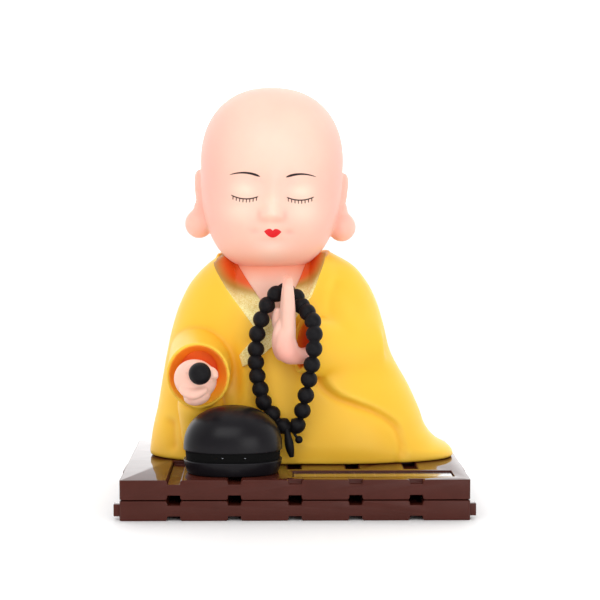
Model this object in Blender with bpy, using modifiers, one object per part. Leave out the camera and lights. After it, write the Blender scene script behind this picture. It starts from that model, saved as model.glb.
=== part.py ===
"""Seated little monk on a slatted base, with a wooden fish drum, a mallet and prayer beads.

The frame is +Z up, front towards -Y, with the origin on the floor under the middle of the base.
The base is given in real sizes. The figure and what it holds are drawn in a pattern of their own,
in pattern millimetres from the figure's foot on the deck, and FIGURE_HEIGHT sets its real size.
"""

import math

import bmesh
import bpy
import numpy as np
from mathutils import Matrix, Vector

MM = 0.001

# Base: two slatted tiers, one on the other
BASE_WIDTH = 100.0 * MM
BASE_DEPTH = 80.0 * MM
TIER_HEIGHT = 5.7 * MM
TIER_EDGE_ROUND = 0.7 * MM
PLANK_COUNT = 6
GROOVE_WIDTH = 3.7 * MM
GROOVE_DEPTH = 1.3 * MM
GROOVE_CHAMFER = 0.45 * MM
GAP = 0.3 * MM

# Side lugs of the lower tier, and the long side tabs of the upper one
LUG_REACH = 1.8 * MM
LUG_LENGTH = 3.6 * MM
LUG_HEIGHT = 3.5 * MM
LUG_FROM_CORNER = 0.7 * MM
TAB_REACH = 0.6 * MM
TAB_LENGTH = 14.0 * MM
TAB_HEIGHT = 3.0 * MM
TAB_FROM_FRONT = 20.0 * MM

# Window for the solar cell in the deck
WINDOW_WIDTH = 46.6 * MM
WINDOW_LENGTH = 10.7 * MM
WINDOW_DEPTH = 1.4 * MM
WINDOW_FROM_FRONT = 5.6 * MM
WINDOW_FROM_RIGHT = 4.0 * MM
WINDOW_FRAME = 2.8 * MM
FRONT_NOTCH = 2.0 * MM
CELL_THICKNESS = 0.6 * MM
CELL_PLAY = 0.3 * MM

# Figure: its height over the deck, the same height in pattern millimetres, and where its foot stands
FIGURE_HEIGHT = 113.2 * MM
HEAD_TOP = 113.2
FIGURE_X = -6.5 * MM
FIGURE_BEHIND_FISH = 2.6 * MM

# Wooden fish drum
FISH_WIDTH = 29.3 * MM
FISH_DEPTH = 24.4 * MM
FISH_HEIGHT = 19.5 * MM
FISH_X = -18.0 * MM
FISH_FROM_FRONT = 3.0 * MM
FISH_PLAN_POWER = 2.35
MOUTH_BOTTOM = 3.6 * MM
MOUTH_TOP = 6.5 * MM
MOUTH_DEPTH = 0.9 * MM

DECK_TOP = 2 * TIER_HEIGHT + GAP
UNIT = FIGURE_HEIGHT / HEAD_TOP
FISH_Y = FISH_FROM_FRONT + FISH_DEPTH / 2 - BASE_DEPTH / 2
FIGURE_Y = FISH_Y + FISH_DEPTH / 2 + FIGURE_BEHIND_FISH + 19.0 * UNIT
PLANK_WIDTH = (BASE_WIDTH - (PLANK_COUNT - 1) * GROOVE_WIDTH) / PLANK_COUNT
FIGURE_FOOT = Vector((FIGURE_X, FIGURE_Y, DECK_TOP))

# Pattern clearance between the figure's own pieces, so that the real one stays GAP
PLAY = GAP / UNIT

COLOURS = {
    "brown_plastic": ((0.100, 0.030, 0.024), 0.35, 0.0),
    "solar_cell": ((0.030, 0.014, 0.020), 0.12, 0.0),
    "robe_yellow": ((0.930, 0.440, 0.040), 0.40, 0.0),
    "skin": ((0.930, 0.560, 0.450), 0.45, 0.0),
    "fish_black": ((0.016, 0.014, 0.018), 0.28, 0.0),
    "bead_black": ((0.014, 0.013, 0.016), 0.55, 0.0),
}


def clear_scene():
    for obj in list(bpy.data.objects):
        bpy.data.objects.remove(obj)
    for collection in list(bpy.data.collections):
        bpy.data.collections.remove(collection)


def collection_named(name):
    made = bpy.data.collections.new(name)
    bpy.context.scene.collection.children.link(made)
    return made


def material_named(name):
    colour, roughness, metallic = COLOURS[name]
    made = bpy.data.materials.new(name)
    made.use_nodes = True
    shader = made.node_tree.nodes["Principled BSDF"]
    shader.inputs["Base Color"].default_value = (*colour, 1.0)
    shader.inputs["Roughness"].default_value = roughness
    shader.inputs["Metallic"].default_value = metallic
    made.diffuse_color = (*colour, 1.0)
    return made


def object_from(bm, name, collection):
    """The bmesh as a new object, its faces pointing out."""
    bmesh.ops.recalc_face_normals(bm, faces=bm.faces)
    mesh = bpy.data.meshes.new(name)
    bm.to_mesh(mesh)
    bm.free()
    obj = bpy.data.objects.new(name, mesh)
    collection.objects.link(obj)
    return obj


def box(name, low, high, collection, bevel=0.0, segments=2):
    """A box between two corners, with its edges rounded by bevel."""
    bm = bmesh.new()
    bmesh.ops.create_cube(bm, size=1.0)
    size = [b - a for a, b in zip(low, high)]
    middle = [(a + b) / 2 for a, b in zip(low, high)]
    bmesh.ops.scale(bm, vec=size, verts=bm.verts)
    bmesh.ops.translate(bm, vec=middle, verts=bm.verts)
    if bevel:
        bmesh.ops.bevel(bm, geom=bm.edges, offset=bevel, segments=segments, affect="EDGES", profile=0.5)
    return object_from(bm, name, collection)


def bake(obj):
    """Replaces the object's mesh by what its modifiers make of it."""
    bpy.context.view_layer.update()
    graph = bpy.context.evaluated_depsgraph_get()
    mesh = bpy.data.meshes.new_from_object(obj.evaluated_get(graph))
    obj.modifiers.clear()
    obj.data = mesh


def combine(obj, other, operation):
    """Cuts other from obj, or joins it to obj, and keeps other as a hidden guide."""
    boolean = obj.modifiers.new(operation.title(), "BOOLEAN")
    boolean.operation = operation
    boolean.object = other
    bake(obj)
    other.hide_render = True
    other.display_type = "WIRE"


def finish(obj, material, smooth_angle=35):
    obj.data.materials.clear()
    obj.data.materials.append(material)
    obj.data.shade_smooth()
    obj.data.set_sharp_from_angle(angle=math.radians(smooth_angle))


def groove_cutter(name, x, y_low, y_high, z_edge, into, guides):
    """A chamfered bar that cuts one groove into a tier's face at z_edge; into is -1 down or +1 up."""
    floor = z_edge + into * GROOVE_DEPTH
    over = z_edge - into * GROOVE_DEPTH
    half = GROOVE_WIDTH / 2
    lip = half + GROOVE_CHAMFER
    flare = lip + GROOVE_DEPTH
    profile = [
        (-half, floor),
        (half, floor),
        (half, z_edge + into * GROOVE_CHAMFER),
        (lip, z_edge),
        (flare, over),
        (-flare, over),
        (-lip, z_edge),
        (-half, z_edge + into * GROOVE_CHAMFER),
    ]
    bm = bmesh.new()
    ring = [bm.verts.new((x + px, y_low, pz)) for px, pz in profile]
    face = bm.faces.new(ring)
    made = bmesh.ops.extrude_face_region(bm, geom=[face])
    moved = [g for g in made["geom"] if isinstance(g, bmesh.types.BMVert)]
    bmesh.ops.translate(bm, vec=(0, y_high - y_low, 0), verts=moved)
    return object_from(bm, name, guides)


def groove_places():
    """The x of each groove between two planks."""
    pitch = PLANK_WIDTH + GROOVE_WIDTH
    return [(i + 1) * pitch - GROOVE_WIDTH / 2 - BASE_WIDTH / 2 for i in range(PLANK_COUNT - 1)]


def window_corners():
    """The low and high x, y of the solar cell's window in the deck."""
    x_high = BASE_WIDTH / 2 - WINDOW_FROM_RIGHT
    y_low = WINDOW_FROM_FRONT - BASE_DEPTH / 2
    return x_high - WINDOW_WIDTH, x_high, y_low, y_low + WINDOW_LENGTH


def tier(name, bottom, parts, guides):
    """One slatted tier: a rounded slab with the plank grooves in its underside."""
    half_x, half_y = BASE_WIDTH / 2, BASE_DEPTH / 2
    top = bottom + TIER_HEIGHT
    slab = box(name, (-half_x, -half_y, bottom), (half_x, half_y, top), parts, TIER_EDGE_ROUND, 1)
    past = half_y + GROOVE_WIDTH
    for i, x in enumerate(groove_places()):
        combine(slab, groove_cutter(f"{name}_under_{i}", x, -past, past, bottom, 1, guides), "DIFFERENCE")
    return slab


def lower_tier(parts, guides):
    slab = tier("base_lower_tier", 0.0, parts, guides)
    past = BASE_DEPTH / 2 + GROOVE_WIDTH
    for i, x in enumerate(groove_places()):
        cutter = groove_cutter(f"lower_over_{i}", x, -past, past, TIER_HEIGHT, -1, guides)
        combine(slab, cutter, "DIFFERENCE")
    middle = BASE_DEPTH / 2 - LUG_FROM_CORNER - TIER_EDGE_ROUND - LUG_LENGTH / 2
    z_low = (TIER_HEIGHT - LUG_HEIGHT) / 2
    for side in (-1, 1):
        for end in (-1, 1):
            inner = side * (BASE_WIDTH / 2 - 2 * TIER_EDGE_ROUND)
            outer = side * (BASE_WIDTH / 2 + LUG_REACH)
            low = (min(inner, outer), end * middle - LUG_LENGTH / 2, z_low)
            high = (max(inner, outer), end * middle + LUG_LENGTH / 2, z_low + LUG_HEIGHT)
            lug = box(f"lug_{side}_{end}", low, high, guides, TIER_EDGE_ROUND * 0.7, 1)
            combine(slab, lug, "UNION")
    return slab


def upper_tier(parts, guides):
    bottom = TIER_HEIGHT + GAP
    slab = tier("base_upper_tier", bottom, parts, guides)
    past = BASE_DEPTH / 2 + GROOVE_WIDTH
    x_low, x_high, y_low, y_high = window_corners()
    for i, x in enumerate(groove_places()):
        under_window = x_low - GROOVE_WIDTH < x < x_high + GROOVE_WIDTH
        if under_window:
            runs = [(-past, FRONT_NOTCH - BASE_DEPTH / 2), (y_high + WINDOW_FRAME, past)]
        else:
            runs = [(-past, past)]
        for j, (y_from, y_to) in enumerate(runs):
            cutter = groove_cutter(f"deck_{i}_{j}", x, y_from, y_to, DECK_TOP, -1, guides)
            combine(slab, cutter, "DIFFERENCE")
    floor = DECK_TOP - WINDOW_DEPTH
    window = box("window", (x_low, y_low, floor), (x_high, y_high, DECK_TOP + WINDOW_DEPTH), guides)
    combine(slab, window, "DIFFERENCE")
    y_front = TAB_FROM_FRONT - BASE_DEPTH / 2
    z_high = DECK_TOP - TIER_EDGE_ROUND
    for side in (-1, 1):
        inner = side * (BASE_WIDTH / 2 - 2 * TIER_EDGE_ROUND)
        outer = side * (BASE_WIDTH / 2 + TAB_REACH)
        low = (min(inner, outer), y_front, z_high - TAB_HEIGHT)
        high = (max(inner, outer), y_front + TAB_LENGTH, z_high)
        combine(slab, box(f"side_tab_{side}", low, high, guides, TAB_REACH * 0.4, 1), "UNION")
    return slab


def solar_cell(parts):
    x_low, x_high, y_low, y_high = window_corners()
    floor = DECK_TOP - WINDOW_DEPTH + GAP
    low = (x_low + CELL_PLAY, y_low + CELL_PLAY, floor)
    high = (x_high - CELL_PLAY, y_high - CELL_PLAY, floor + CELL_THICKNESS)
    return box("solar_cell", low, high, parts)


def fish_radius(z):
    """The drum's share of its full plan at height z over its own foot: a bowl, a mouth slit and a dome."""
    belly = FISH_HEIGHT * 0.36
    if z < belly:
        share = 1 - 0.10 * ((belly - z) / belly) ** 2.2
    else:
        share = max(0.0, 1 - ((z - belly) / (FISH_HEIGHT - belly)) ** 2.45) ** (1 / 2.1)
    return share


def fish_profile():
    """Heights and plan shares from the drum's foot to its crown, with the mouth slit cut in."""
    inset = MOUTH_DEPTH / (FISH_WIDTH / 2)
    lip = 0.25 * MM
    rows = [(0.0, fish_radius(0.0) - 0.05), (0.7 * MM, fish_radius(0.7 * MM))]
    rows += [(MOUTH_BOTTOM - lip, fish_radius(MOUTH_BOTTOM)), (MOUTH_BOTTOM, fish_radius(MOUTH_BOTTOM) - lip / FISH_WIDTH)]
    rows += [(MOUTH_BOTTOM, 1 - inset), (MOUTH_TOP, 1 - inset)]
    rows += [(MOUTH_TOP, 1 - lip / FISH_WIDTH), (MOUTH_TOP + lip, 1.0)]
    over = FISH_HEIGHT - MOUTH_TOP
    for share in (0.2, 0.4, 0.58, 0.74, 0.86, 0.94, 0.98):
        z = MOUTH_TOP + share * over
        rows.append((z, fish_radius(z)))
    return rows


def wooden_fish(parts):
    """The drum, lofted through superellipse rings."""
    sides = 24
    bm = bmesh.new()
    rings = []
    for z, share in fish_profile():
        ring = []
        for i in range(sides):
            angle = 2 * math.pi * i / sides
            x, y = superellipse(angle, FISH_PLAN_POWER)
            ring.append(bm.verts.new((x * share * FISH_WIDTH / 2, y * share * FISH_DEPTH / 2, z)))
        rings.append(ring)
    for lower, upper in zip(rings, rings[1:]):
        for i in range(sides):
            j = (i + 1) % sides
            bm.faces.new((lower[i], lower[j], upper[j], upper[i]))
    bm.faces.new(rings[0][::-1])
    crown = bm.verts.new((0, 0, FISH_HEIGHT))
    for i in range(sides):
        bm.faces.new((rings[-1][i], rings[-1][(i + 1) % sides], crown))
    drum = object_from(bm, "wooden_fish", parts)
    drum.location = (FISH_X, FISH_Y, DECK_TOP + GAP)
    return drum


def superellipse(angle, power):
    """The point of a unit superellipse in the direction of the angle."""
    c, s = math.cos(angle), math.sin(angle)
    reach = (abs(c) ** power + abs(s) ** power) ** (-1 / power)
    return c * reach, s * reach


def curve_through(places, values, at):
    """Smooth values at some places, through (place, value) pairs in rising order of place."""
    places = np.asarray(places, float)
    values = np.asarray(values, float)
    slopes = np.gradient(values, places)
    at = np.clip(at, places[0], places[-1])
    i = np.clip(np.searchsorted(places, at) - 1, 0, len(places) - 2)
    step = places[i + 1] - places[i]
    t = (at - places[i]) / step
    a, b = values[i], values[i + 1]
    m, n = slopes[i] * step, slopes[i + 1] * step
    return a + t * (m + t * (3 * (b - a) - 2 * m - n + t * (2 * (a - b) + m + n)))


def smoothstep(low, high, at):
    t = np.clip((at - low) / (high - low), 0, 1)
    return t * t * (3 - 2 * t)


def hill(x, z, centre, reach, turn=0.0):
    """A round hill of height 1 in the front view, reach wide each way, turned by some degrees."""
    c, s = math.cos(math.radians(turn)), math.sin(math.radians(turn))
    dx, dz = x - centre[0], z - centre[1]
    along, across = dx * c + dz * s, dz * c - dx * s
    return np.exp(-((along / reach[0]) ** 2) - (across / reach[1]) ** 2)


def dense(points, steps=12):
    """A smooth line through some points, as an array of many."""
    points = np.asarray(points, float)
    place = np.arange(len(points))
    at = np.linspace(0, len(points) - 1, steps * (len(points) - 1) + 1)
    return np.stack([curve_through(place, points[:, i], at) for i in range(points.shape[1])], 1)


def line_distance(x, z, line):
    """The distance from a line in the front view, above 0 on its right, and the share along it."""
    best = np.full(np.shape(x), 1e9)
    signed = np.zeros(np.shape(x))
    share = np.zeros(np.shape(x))
    for i in range(len(line) - 1):
        (ax, az), (bx, bz) = line[i], line[i + 1]
        dx, dz = bx - ax, bz - az
        t = np.clip(((x - ax) * dx + (z - az) * dz) / (dx * dx + dz * dz), 0, 1)
        px, pz = x - ax - t * dx, z - az - t * dz
        far = np.hypot(px, pz)
        nearer = far < best
        best = np.where(nearer, far, best)
        side = np.where(px * dz - pz * dx >= 0, 1.0, -1.0)
        signed = np.where(nearer, side * far, signed)
        share = np.where(nearer, (i + t) / (len(line) - 1), share)
    return signed, share


# Robe pattern, in pattern millimetres from the foot of the figure's axis on the deck:
# height, then how far the robe reaches left, right, front and back of the axis
ROBE_REACH = np.array(
    [
        (0.0, 38.0, 56.0, 22.0, 25.5),
        (4.3, 37.6, 52.0, 22.2, 25.6),
        (9.3, 36.8, 48.0, 21.8, 25.4),
        (15.3, 35.4, 45.4, 21.4, 25.0),
        (22.3, 34.2, 41.8, 20.9, 24.2),
        (31.3, 32.6, 36.8, 20.0, 22.8),
        (40.3, 30.6, 34.4, 18.6, 21.0),
        (48.3, 27.8, 32.0, 16.6, 19.0),
        (54.3, 24.4, 28.8, 14.4, 17.3),
        (59.3, 19.6, 24.2, 11.6, 15.4),
        (63.0, 14.5, 17.6, 8.6, 12.6),
    ]
)
ROBE_TOP = 64.0

# Hem of the hanging sleeve, from the deck up to the wrist and the elbow's crease (x, z)
SLEEVE_HEM = [(37.9, -1.0), (38.4, 6.0), (35.6, 12.4), (28.5, 16.4), (20.5, 18.9), (15.6, 24.5), (13.6, 31.0), (14.0, 38.0)]

# Collar bands, down the front along their middle (x, z), their width and how far they stand out
BAND_WIDTH = 4.8
BAND_RISE = 0.5
LEFT_BAND = [(-14.6, 62.6), (-11.9, 57.9), (-6.1, 47.6), (-3.2, 42.0), (-0.6, 37.6)]
RIGHT_BAND = [(15.2, 63.0), (12.6, 56.4), (9.2, 50.0), (5.6, 45.4), (0.7, 40.4), (-4.3, 35.8), (-8.6, 32.4)]

# Collar opening: the low point of its V (x, z), and how far each edge leans out per millimetre up
COLLAR_POINT = (-0.6, 42.4)
COLLAR_LEAN = (0.55, 0.74)

# Neck and chest: a plug in the collar, from the chest's low end up into the head, with its half sizes
CHEST_LOW = Vector((-0.4, -3.6, 38.0))
CHEST_LOW_SIZE = (9.6, 11.6)
CHEST_TOP = Vector((0.0, -1.6, 70.0))
CHEST_TOP_SIZE = (12.6, 10.8)

# Head: centre of its widest ring, its half sizes, and its tilt to one side in degrees
HEAD_Y = -3.0
HEAD_WIDEST = 90.3
HEAD_HALF_WIDTH = 21.8
HEAD_FRONT = 21.5
HEAD_BACK = 23.5
HEAD_BOTTOM = 57.4
HEAD_TILT = 1.4

# Sleeves: centre of each mouth, and the point inside that its forearm comes from
RIGHT_CUFF = Vector((-22.0, -26.5, 27.4))
RIGHT_ELBOW = Vector((-21.6, -5.0, 31.0))
LEFT_CUFF = Vector((12.0, -25.6, 36.6))
LEFT_ELBOW = Vector((30.0, -7.0, 31.5))

# Fist round the mallet, and the mallet's head
FIST = Vector((-22.6, -33.6, 26.4))
MALLET_HEAD = Vector((-20.4, -41.0, 29.4))
MALLET_HEAD_RADIUS = 3.3
MALLET_STICK_RADIUS = 1.1
MALLET_STICK_LENGTH = 13.0

# Praying hand: heel of the palm and fingertips
PALM = Vector((4.9, -28.2, 37.6))
FINGERTIP = Vector((4.5, -27.0, 56.6))

# Prayer beads: the string's round (x, y, z), bead diameter and how many
BEAD_DIAMETER = 4.8
BEAD_COUNT = 25
BEAD_ROUND = [
    (3.4, -21.2, 52.8),
    (0.4, -22.2, 50.4),
    (-3.1, -24.0, 43.8),
    (-4.7, -24.8, 35.3),
    (-4.3, -25.0, 26.9),
    (-2.1, -25.0, 19.3),
    (3.3, -25.2, 12.4),
    (5.4, -25.4, 10.6),
    (7.4, -26.2, 13.2),
    (9.5, -28.8, 22.0),
    (11.1, -32.6, 31.0),
    (11.7, -33.8, 38.4),
    (11.1, -31.0, 44.2),
    (9.5, -26.0, 48.2),
    (7.0, -22.0, 51.4),
]


def robe_relief(x, z):
    """How far the drapery stands out of, or lies in, the robe's plain front at (x, z)."""
    out = 2.6 * hill(x, z, (27.0, 8.0), (12.0, 10.0))
    far, share = line_distance(x, z, dense(SLEEVE_HEM))
    rise = 1.2 + 3.2 * smoothstep(0.15, 0.75, share)
    fade = 0.30 + 0.70 * np.exp(-np.maximum(far, 0) / 16.0)
    out = out + rise * smoothstep(-0.5, 1.3, far) * fade * smoothstep(52.0, 40.0, z)
    out = out - 1.2 * np.exp(-(((far + 1.5) / 1.8) ** 2)) * smoothstep(40.0, 32.0, z)
    out = out + 0.9 * hill(x, z, (24.0, 31.5), (13.0, 2.4), -18)
    crease = dense([(21.5, 55.0), (17.5, 49.0), (16.0, 43.5)])
    far, share = line_distance(x, z, crease)
    out = out - 0.9 * np.exp(-((far / 1.6) ** 2))
    out = out - 0.8 * hill(x, z, (21.5, 56.0), (2.6, 8.0), 14)
    out = out - 1.5 * hill(x, z, (-11.6, 26.0), (2.4, 8.0), 4)
    out = out - 1.0 * hill(x, z, (-31.0, 7.0), (1.5, 7.5), 6)
    out = out - 2.0 * hill(x, z, (-16.0, 8.0), (12.0, 9.0))
    return out


def robe_radius(angle, z):
    """How far the robe's surface is from its axis, at an angle and height."""
    left, right, front, back = (curve_through(ROBE_REACH[:, 0], ROBE_REACH[:, i], z) for i in range(1, 5))
    c, s = np.cos(angle), np.sin(angle)
    a = np.where(c > 0, right, left)
    b = np.where(s > 0, back, front)
    low = smoothstep(40.0, 0.0, z)
    power = np.where(s > 0, 2.25, np.where(c > 0, 2.15 + 0.75 * low, 2.15 - 0.35 * low))
    plain = (np.abs(c / a) ** power + np.abs(s / b) ** power) ** (-1 / power)
    shown = smoothstep(-0.05, 0.35, -s)
    x = plain * c
    return plain + shown * robe_relief(x, z)


def robe_shell(name, collection, columns, rows):
    """The robe's outer form, lofted through rings from the deck to the shoulders."""
    bm = bmesh.new()
    angles = np.linspace(0, 2 * math.pi, columns, endpoint=False)
    heights = ROBE_TOP * np.sin(np.linspace(0, math.pi / 2, rows)) ** 0.92
    rings = []
    for z in heights:
        reach = robe_radius(angles, np.full(columns, z))
        shrink = 1.0 if z < 63.0 else 0.94
        ring = [(r * shrink * math.cos(t), r * shrink * math.sin(t), z + PLAY) for r, t in zip(reach, angles)]
        rings.append([bm.verts.new(Vector(p) * UNIT) for p in ring])
    for lower, upper in zip(rings, rings[1:]):
        for i in range(columns):
            j = (i + 1) % columns
            bm.faces.new((lower[i], lower[j], upper[j], upper[i]))
    bm.faces.new(rings[0][::-1])
    bm.faces.new(rings[-1])
    return object_from(bm, name, collection)


def robe_front(x, z):
    """The y of the robe's front at (x, z)."""
    angles = np.linspace(math.pi, 2 * math.pi, 240)
    reach = robe_radius(angles, np.full(240, z))
    return float(np.interp(x, reach * np.cos(angles), reach * np.sin(angles)))


def collar_band(name, line, collection):
    """A flat band laid along the robe's front, drawn as a strip through sections of six corners."""
    path = dense(line, 2)
    bm = bmesh.new()
    sections = []
    for i, (x, z) in enumerate(path):
        along = path[min(i + 1, len(path) - 1)] - path[max(i - 1, 0)]
        across = np.array([along[1], -along[0]]) / np.hypot(*along) * BAND_WIDTH / 2
        section = []
        for share, lift in ((-1, -1.6), (0, -1.6), (1, -1.6), (1, BAND_RISE), (0, BAND_RISE), (-1, BAND_RISE)):
            px, pz = x + across[0] * share, z + across[1] * share
            point = Vector((px, robe_front(px, pz), pz))
            out = Vector((px, point.y, 0)).normalized()
            section.append(bm.verts.new((point + out * lift + Vector((0, 0, PLAY))) * UNIT))
        sections.append(section)
    for near, far in zip(sections, sections[1:]):
        for i in range(6):
            j = (i + 1) % 6
            bm.faces.new((near[i], near[j], far[j], far[i]))
    bm.faces.new(sections[0][::-1])
    bm.faces.new(sections[-1])
    return object_from(bm, name, collection)


def tube(name, start, end, start_size, end_size, collection, sides=32, rings=6, power=2.0):
    """A tapered tube with flat ends between two pattern points; the sizes are half width and half height."""
    axis = (end - start).normalized()
    side = axis.cross(Vector((0, 0, 1))).normalized()
    up = side.cross(axis)
    bm = bmesh.new()
    loops = []
    for k in range(rings):
        t = k / (rings - 1)
        centre = start.lerp(end, t)
        half_wide = start_size[0] + (end_size[0] - start_size[0]) * t
        half_high = start_size[1] + (end_size[1] - start_size[1]) * t
        loop = []
        for i in range(sides):
            x, y = superellipse(2 * math.pi * i / sides, power)
            loop.append(bm.verts.new((centre + side * x * half_wide + up * y * half_high) * UNIT))
        loops.append(loop)
    for lower, upper in zip(loops, loops[1:]):
        for i in range(sides):
            j = (i + 1) % sides
            bm.faces.new((lower[i], lower[j], upper[j], upper[i]))
    bm.faces.new(loops[0][::-1])
    bm.faces.new(loops[-1])
    return object_from(bm, name, collection)


def ellipsoid(name, centre, half_sizes, collection, turn=Matrix.Identity(3), segments=24, rings=14):
    """A turned ellipsoid, in pattern millimetres."""
    bm = bmesh.new()
    bmesh.ops.create_uvsphere(bm, u_segments=segments, v_segments=rings, radius=1.0)
    for vert in bm.verts:
        vert.co = (turn @ Vector([c * h for c, h in zip(vert.co, half_sizes)]) + Vector(centre)) * UNIT
    return object_from(bm, name, collection)


def sausage(name, points, radii, collection, sides=12):
    """A round-ended rod through some pattern points, with a radius at each."""
    points = [Vector(p) for p in points]
    curve = bpy.data.curves.new(name, "CURVE")
    curve.dimensions = "3D"
    curve.bevel_depth = UNIT
    curve.bevel_resolution = sides // 4
    curve.use_fill_caps = True
    path = dense(points, 4)
    size = curve_through(np.arange(len(radii)), radii, np.linspace(0, len(radii) - 1, len(path)))
    rounded = [(0.0, 0.35), (0.12, 0.62), (0.35, 0.86), (0.7, 0.98)]
    first, last = Vector(path[0]), Vector(path[-1])
    lead_in = (first - Vector(path[1])).normalized()
    lead_out = (last - Vector(path[-2])).normalized()
    rows = [(first + lead_in * size[0] * (1 - a), size[0] * b) for a, b in rounded]
    rows += [(Vector(p), s) for p, s in zip(path, size)]
    rows += [(last + lead_out * size[-1] * (1 - a), size[-1] * b) for a, b in reversed(rounded)]
    spline = curve.splines.new("POLY")
    spline.points.add(len(rows) - 1)
    for point, (place, radius) in zip(spline.points, rows):
        point.co = (*(place * UNIT), 1.0)
        point.radius = radius
    made = bpy.data.objects.new(name, curve)
    collection.objects.link(made)
    return as_mesh(made, collection)


def as_mesh(curve_object, collection):
    """A curve object as a closed mesh object of the same name."""
    name = curve_object.name
    bpy.context.view_layer.update()
    graph = bpy.context.evaluated_depsgraph_get()
    mesh = bpy.data.meshes.new_from_object(curve_object.evaluated_get(graph))
    place = curve_object.matrix_world.copy()
    bpy.data.objects.remove(curve_object)
    bm = bmesh.new()
    bm.from_mesh(mesh)
    bmesh.ops.remove_doubles(bm, verts=bm.verts, dist=1e-6)
    bmesh.ops.recalc_face_normals(bm, faces=bm.faces)
    bm.to_mesh(mesh)
    bm.free()
    made = bpy.data.objects.new(name, mesh)
    made.matrix_world = place
    collection.objects.link(made)
    return made


def melt(name, shapes, voxel, smoothing, collection):
    """Some shapes run together into one soft form, as a caster's model is."""
    bm = bmesh.new()
    for shape in shapes:
        bm.from_mesh(shape.data)
    made = object_from(bm, name, collection)
    remesh = made.modifiers.new("Run together", "REMESH")
    remesh.mode = "VOXEL"
    remesh.voxel_size = voxel * UNIT
    soften = made.modifiers.new("Soften", "SMOOTH")
    soften.factor = 0.5
    soften.iterations = smoothing
    bake(made)
    for shape in shapes:
        shape.hide_render = True
        shape.display_type = "WIRE"
    return made


def thin_out(obj, triangles):
    """Fewer facets where the form is plain, down to about this many triangles."""
    obj.data.calc_loop_triangles()
    decimate = obj.modifiers.new("Fewer facets", "DECIMATE")
    decimate.ratio = min(1.0, triangles / len(obj.data.loop_triangles))
    decimate.use_collapse_triangulate = True
    bake(obj)


def head_point(direction, grow=0.0):
    """The head's surface in a direction from its middle, with its face modelled on the front."""
    x, y, z = direction
    across = math.hypot(x, y)
    lift = math.atan2(z, across)
    up, out = math.sin(lift), math.cos(lift)
    if up > 0:
        tall, power, taper = HEAD_TOP - HEAD_WIDEST, 2.25, 1.0
    else:
        tall, power = HEAD_WIDEST - HEAD_BOTTOM, 2.9
        taper = 1 - 0.11 * abs(up) ** 1.5
    reach = (abs(out) ** power + abs(up) ** power) ** (-1 / power)
    c, s = (x / across, y / across) if across > 1e-9 else (1.0, 0.0)
    deep = HEAD_BACK if s > 0 else HEAD_FRONT
    plan = (abs(c / HEAD_HALF_WIDTH) ** 2.2 + abs(s / deep) ** 2.2) ** (-1 / 2.2)
    wide = (plan + grow) * out * reach * taper
    point = Vector((wide * c, wide * s, (tall + grow) * up * reach))
    if s < 0 and not grow:
        point += Vector((0, -face_relief(point.x, point.z), 0)) * min(1.0, -2.2 * s)
    return point


def face_relief(x, z):
    """How far a plain doll's face stands out at (x, z) from the head's middle: nose, cheeks, eyelids and mouth."""
    x, z = np.float64(x), np.float64(z)
    out = 2.4 * hill(x, z, (0.0, -14.2), (2.5, 2.1)) + 1.3 * hill(x, z, (0.0, -9.4), (1.8, 5.0))
    out = out + 0.9 * hill(x, z, (0.0, -19.0), (3.6, 2.6)) + 0.9 * hill(x, z, (0.0, -26.0), (6.0, 3.6))
    out = out + 0.6 * hill(x, z, (0.0, 8.0), (14.0, 10.0))
    for side in (-1, 1):
        out = out + 1.1 * hill(x, z, (side * 9.5, -16.0), (6.0, 6.5))
        out = out + 0.5 * hill(x, z, (side * 9.0, -5.6), (5.0, 2.6))
        out = out - 0.9 * hill(x, z, (side * 6.2, -3.0), (4.5, 2.6), side * 24)
        out = out - 0.5 * hill(x, z, (side * 5.3, -18.6), (1.6, 1.6))
    return float(out)


def head_form(name, collection, segments, rings, grow=0.0):
    """The head without its ears, tilted to its side, in place over the robe."""
    bm = bmesh.new()
    bmesh.ops.create_uvsphere(bm, u_segments=segments, v_segments=rings, radius=1.0)
    for vert in bm.verts:
        vert.co = head_point(vert.co, grow)
    return place_head(object_from(bm, name, collection))


def place_head(obj):
    """Moves a shape drawn about the head's middle to its place on the figure."""
    tilt = Matrix.Rotation(math.radians(HEAD_TILT), 4, "Y")
    move = Matrix.Translation((0, HEAD_Y, HEAD_WIDEST))
    obj.data.transform(Matrix.Scale(UNIT, 4) @ move @ tilt)
    return obj


def ear(side, guides):
    """One long-lobed ear, drawn about the head's middle: shell, neck and hanging lobe."""
    lean = Matrix.Rotation(math.radians(side * 8), 3, "Y")
    shell = ellipsoid(f"ear_shell_{side}", (side * 21.4, 4.6, -9.2), (3.2, 5.4, 6.8), guides, lean)
    neck = ellipsoid(f"ear_neck_{side}", (side * 21.6, 3.8, -14.6), (2.9, 4.2, 5.0), guides)
    lobe = ellipsoid(f"ear_lobe_{side}", (side * 21.9, 3.2, -19.4), (4.5, 4.8, 4.9), guides)
    for shape in (shell, lobe, neck):
        shape.data.transform(Matrix.Scale(1 / UNIT, 4))
        place_head(shape)
    return [shell, lobe, neck]


def head(parts, guides):
    shapes = [head_form("head_form", guides, 96, 64)] + ear(-1, guides) + ear(1, guides)
    made = melt("head", shapes, 0.7, 6, parts)
    thin_out(made, 1400)
    return made


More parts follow.
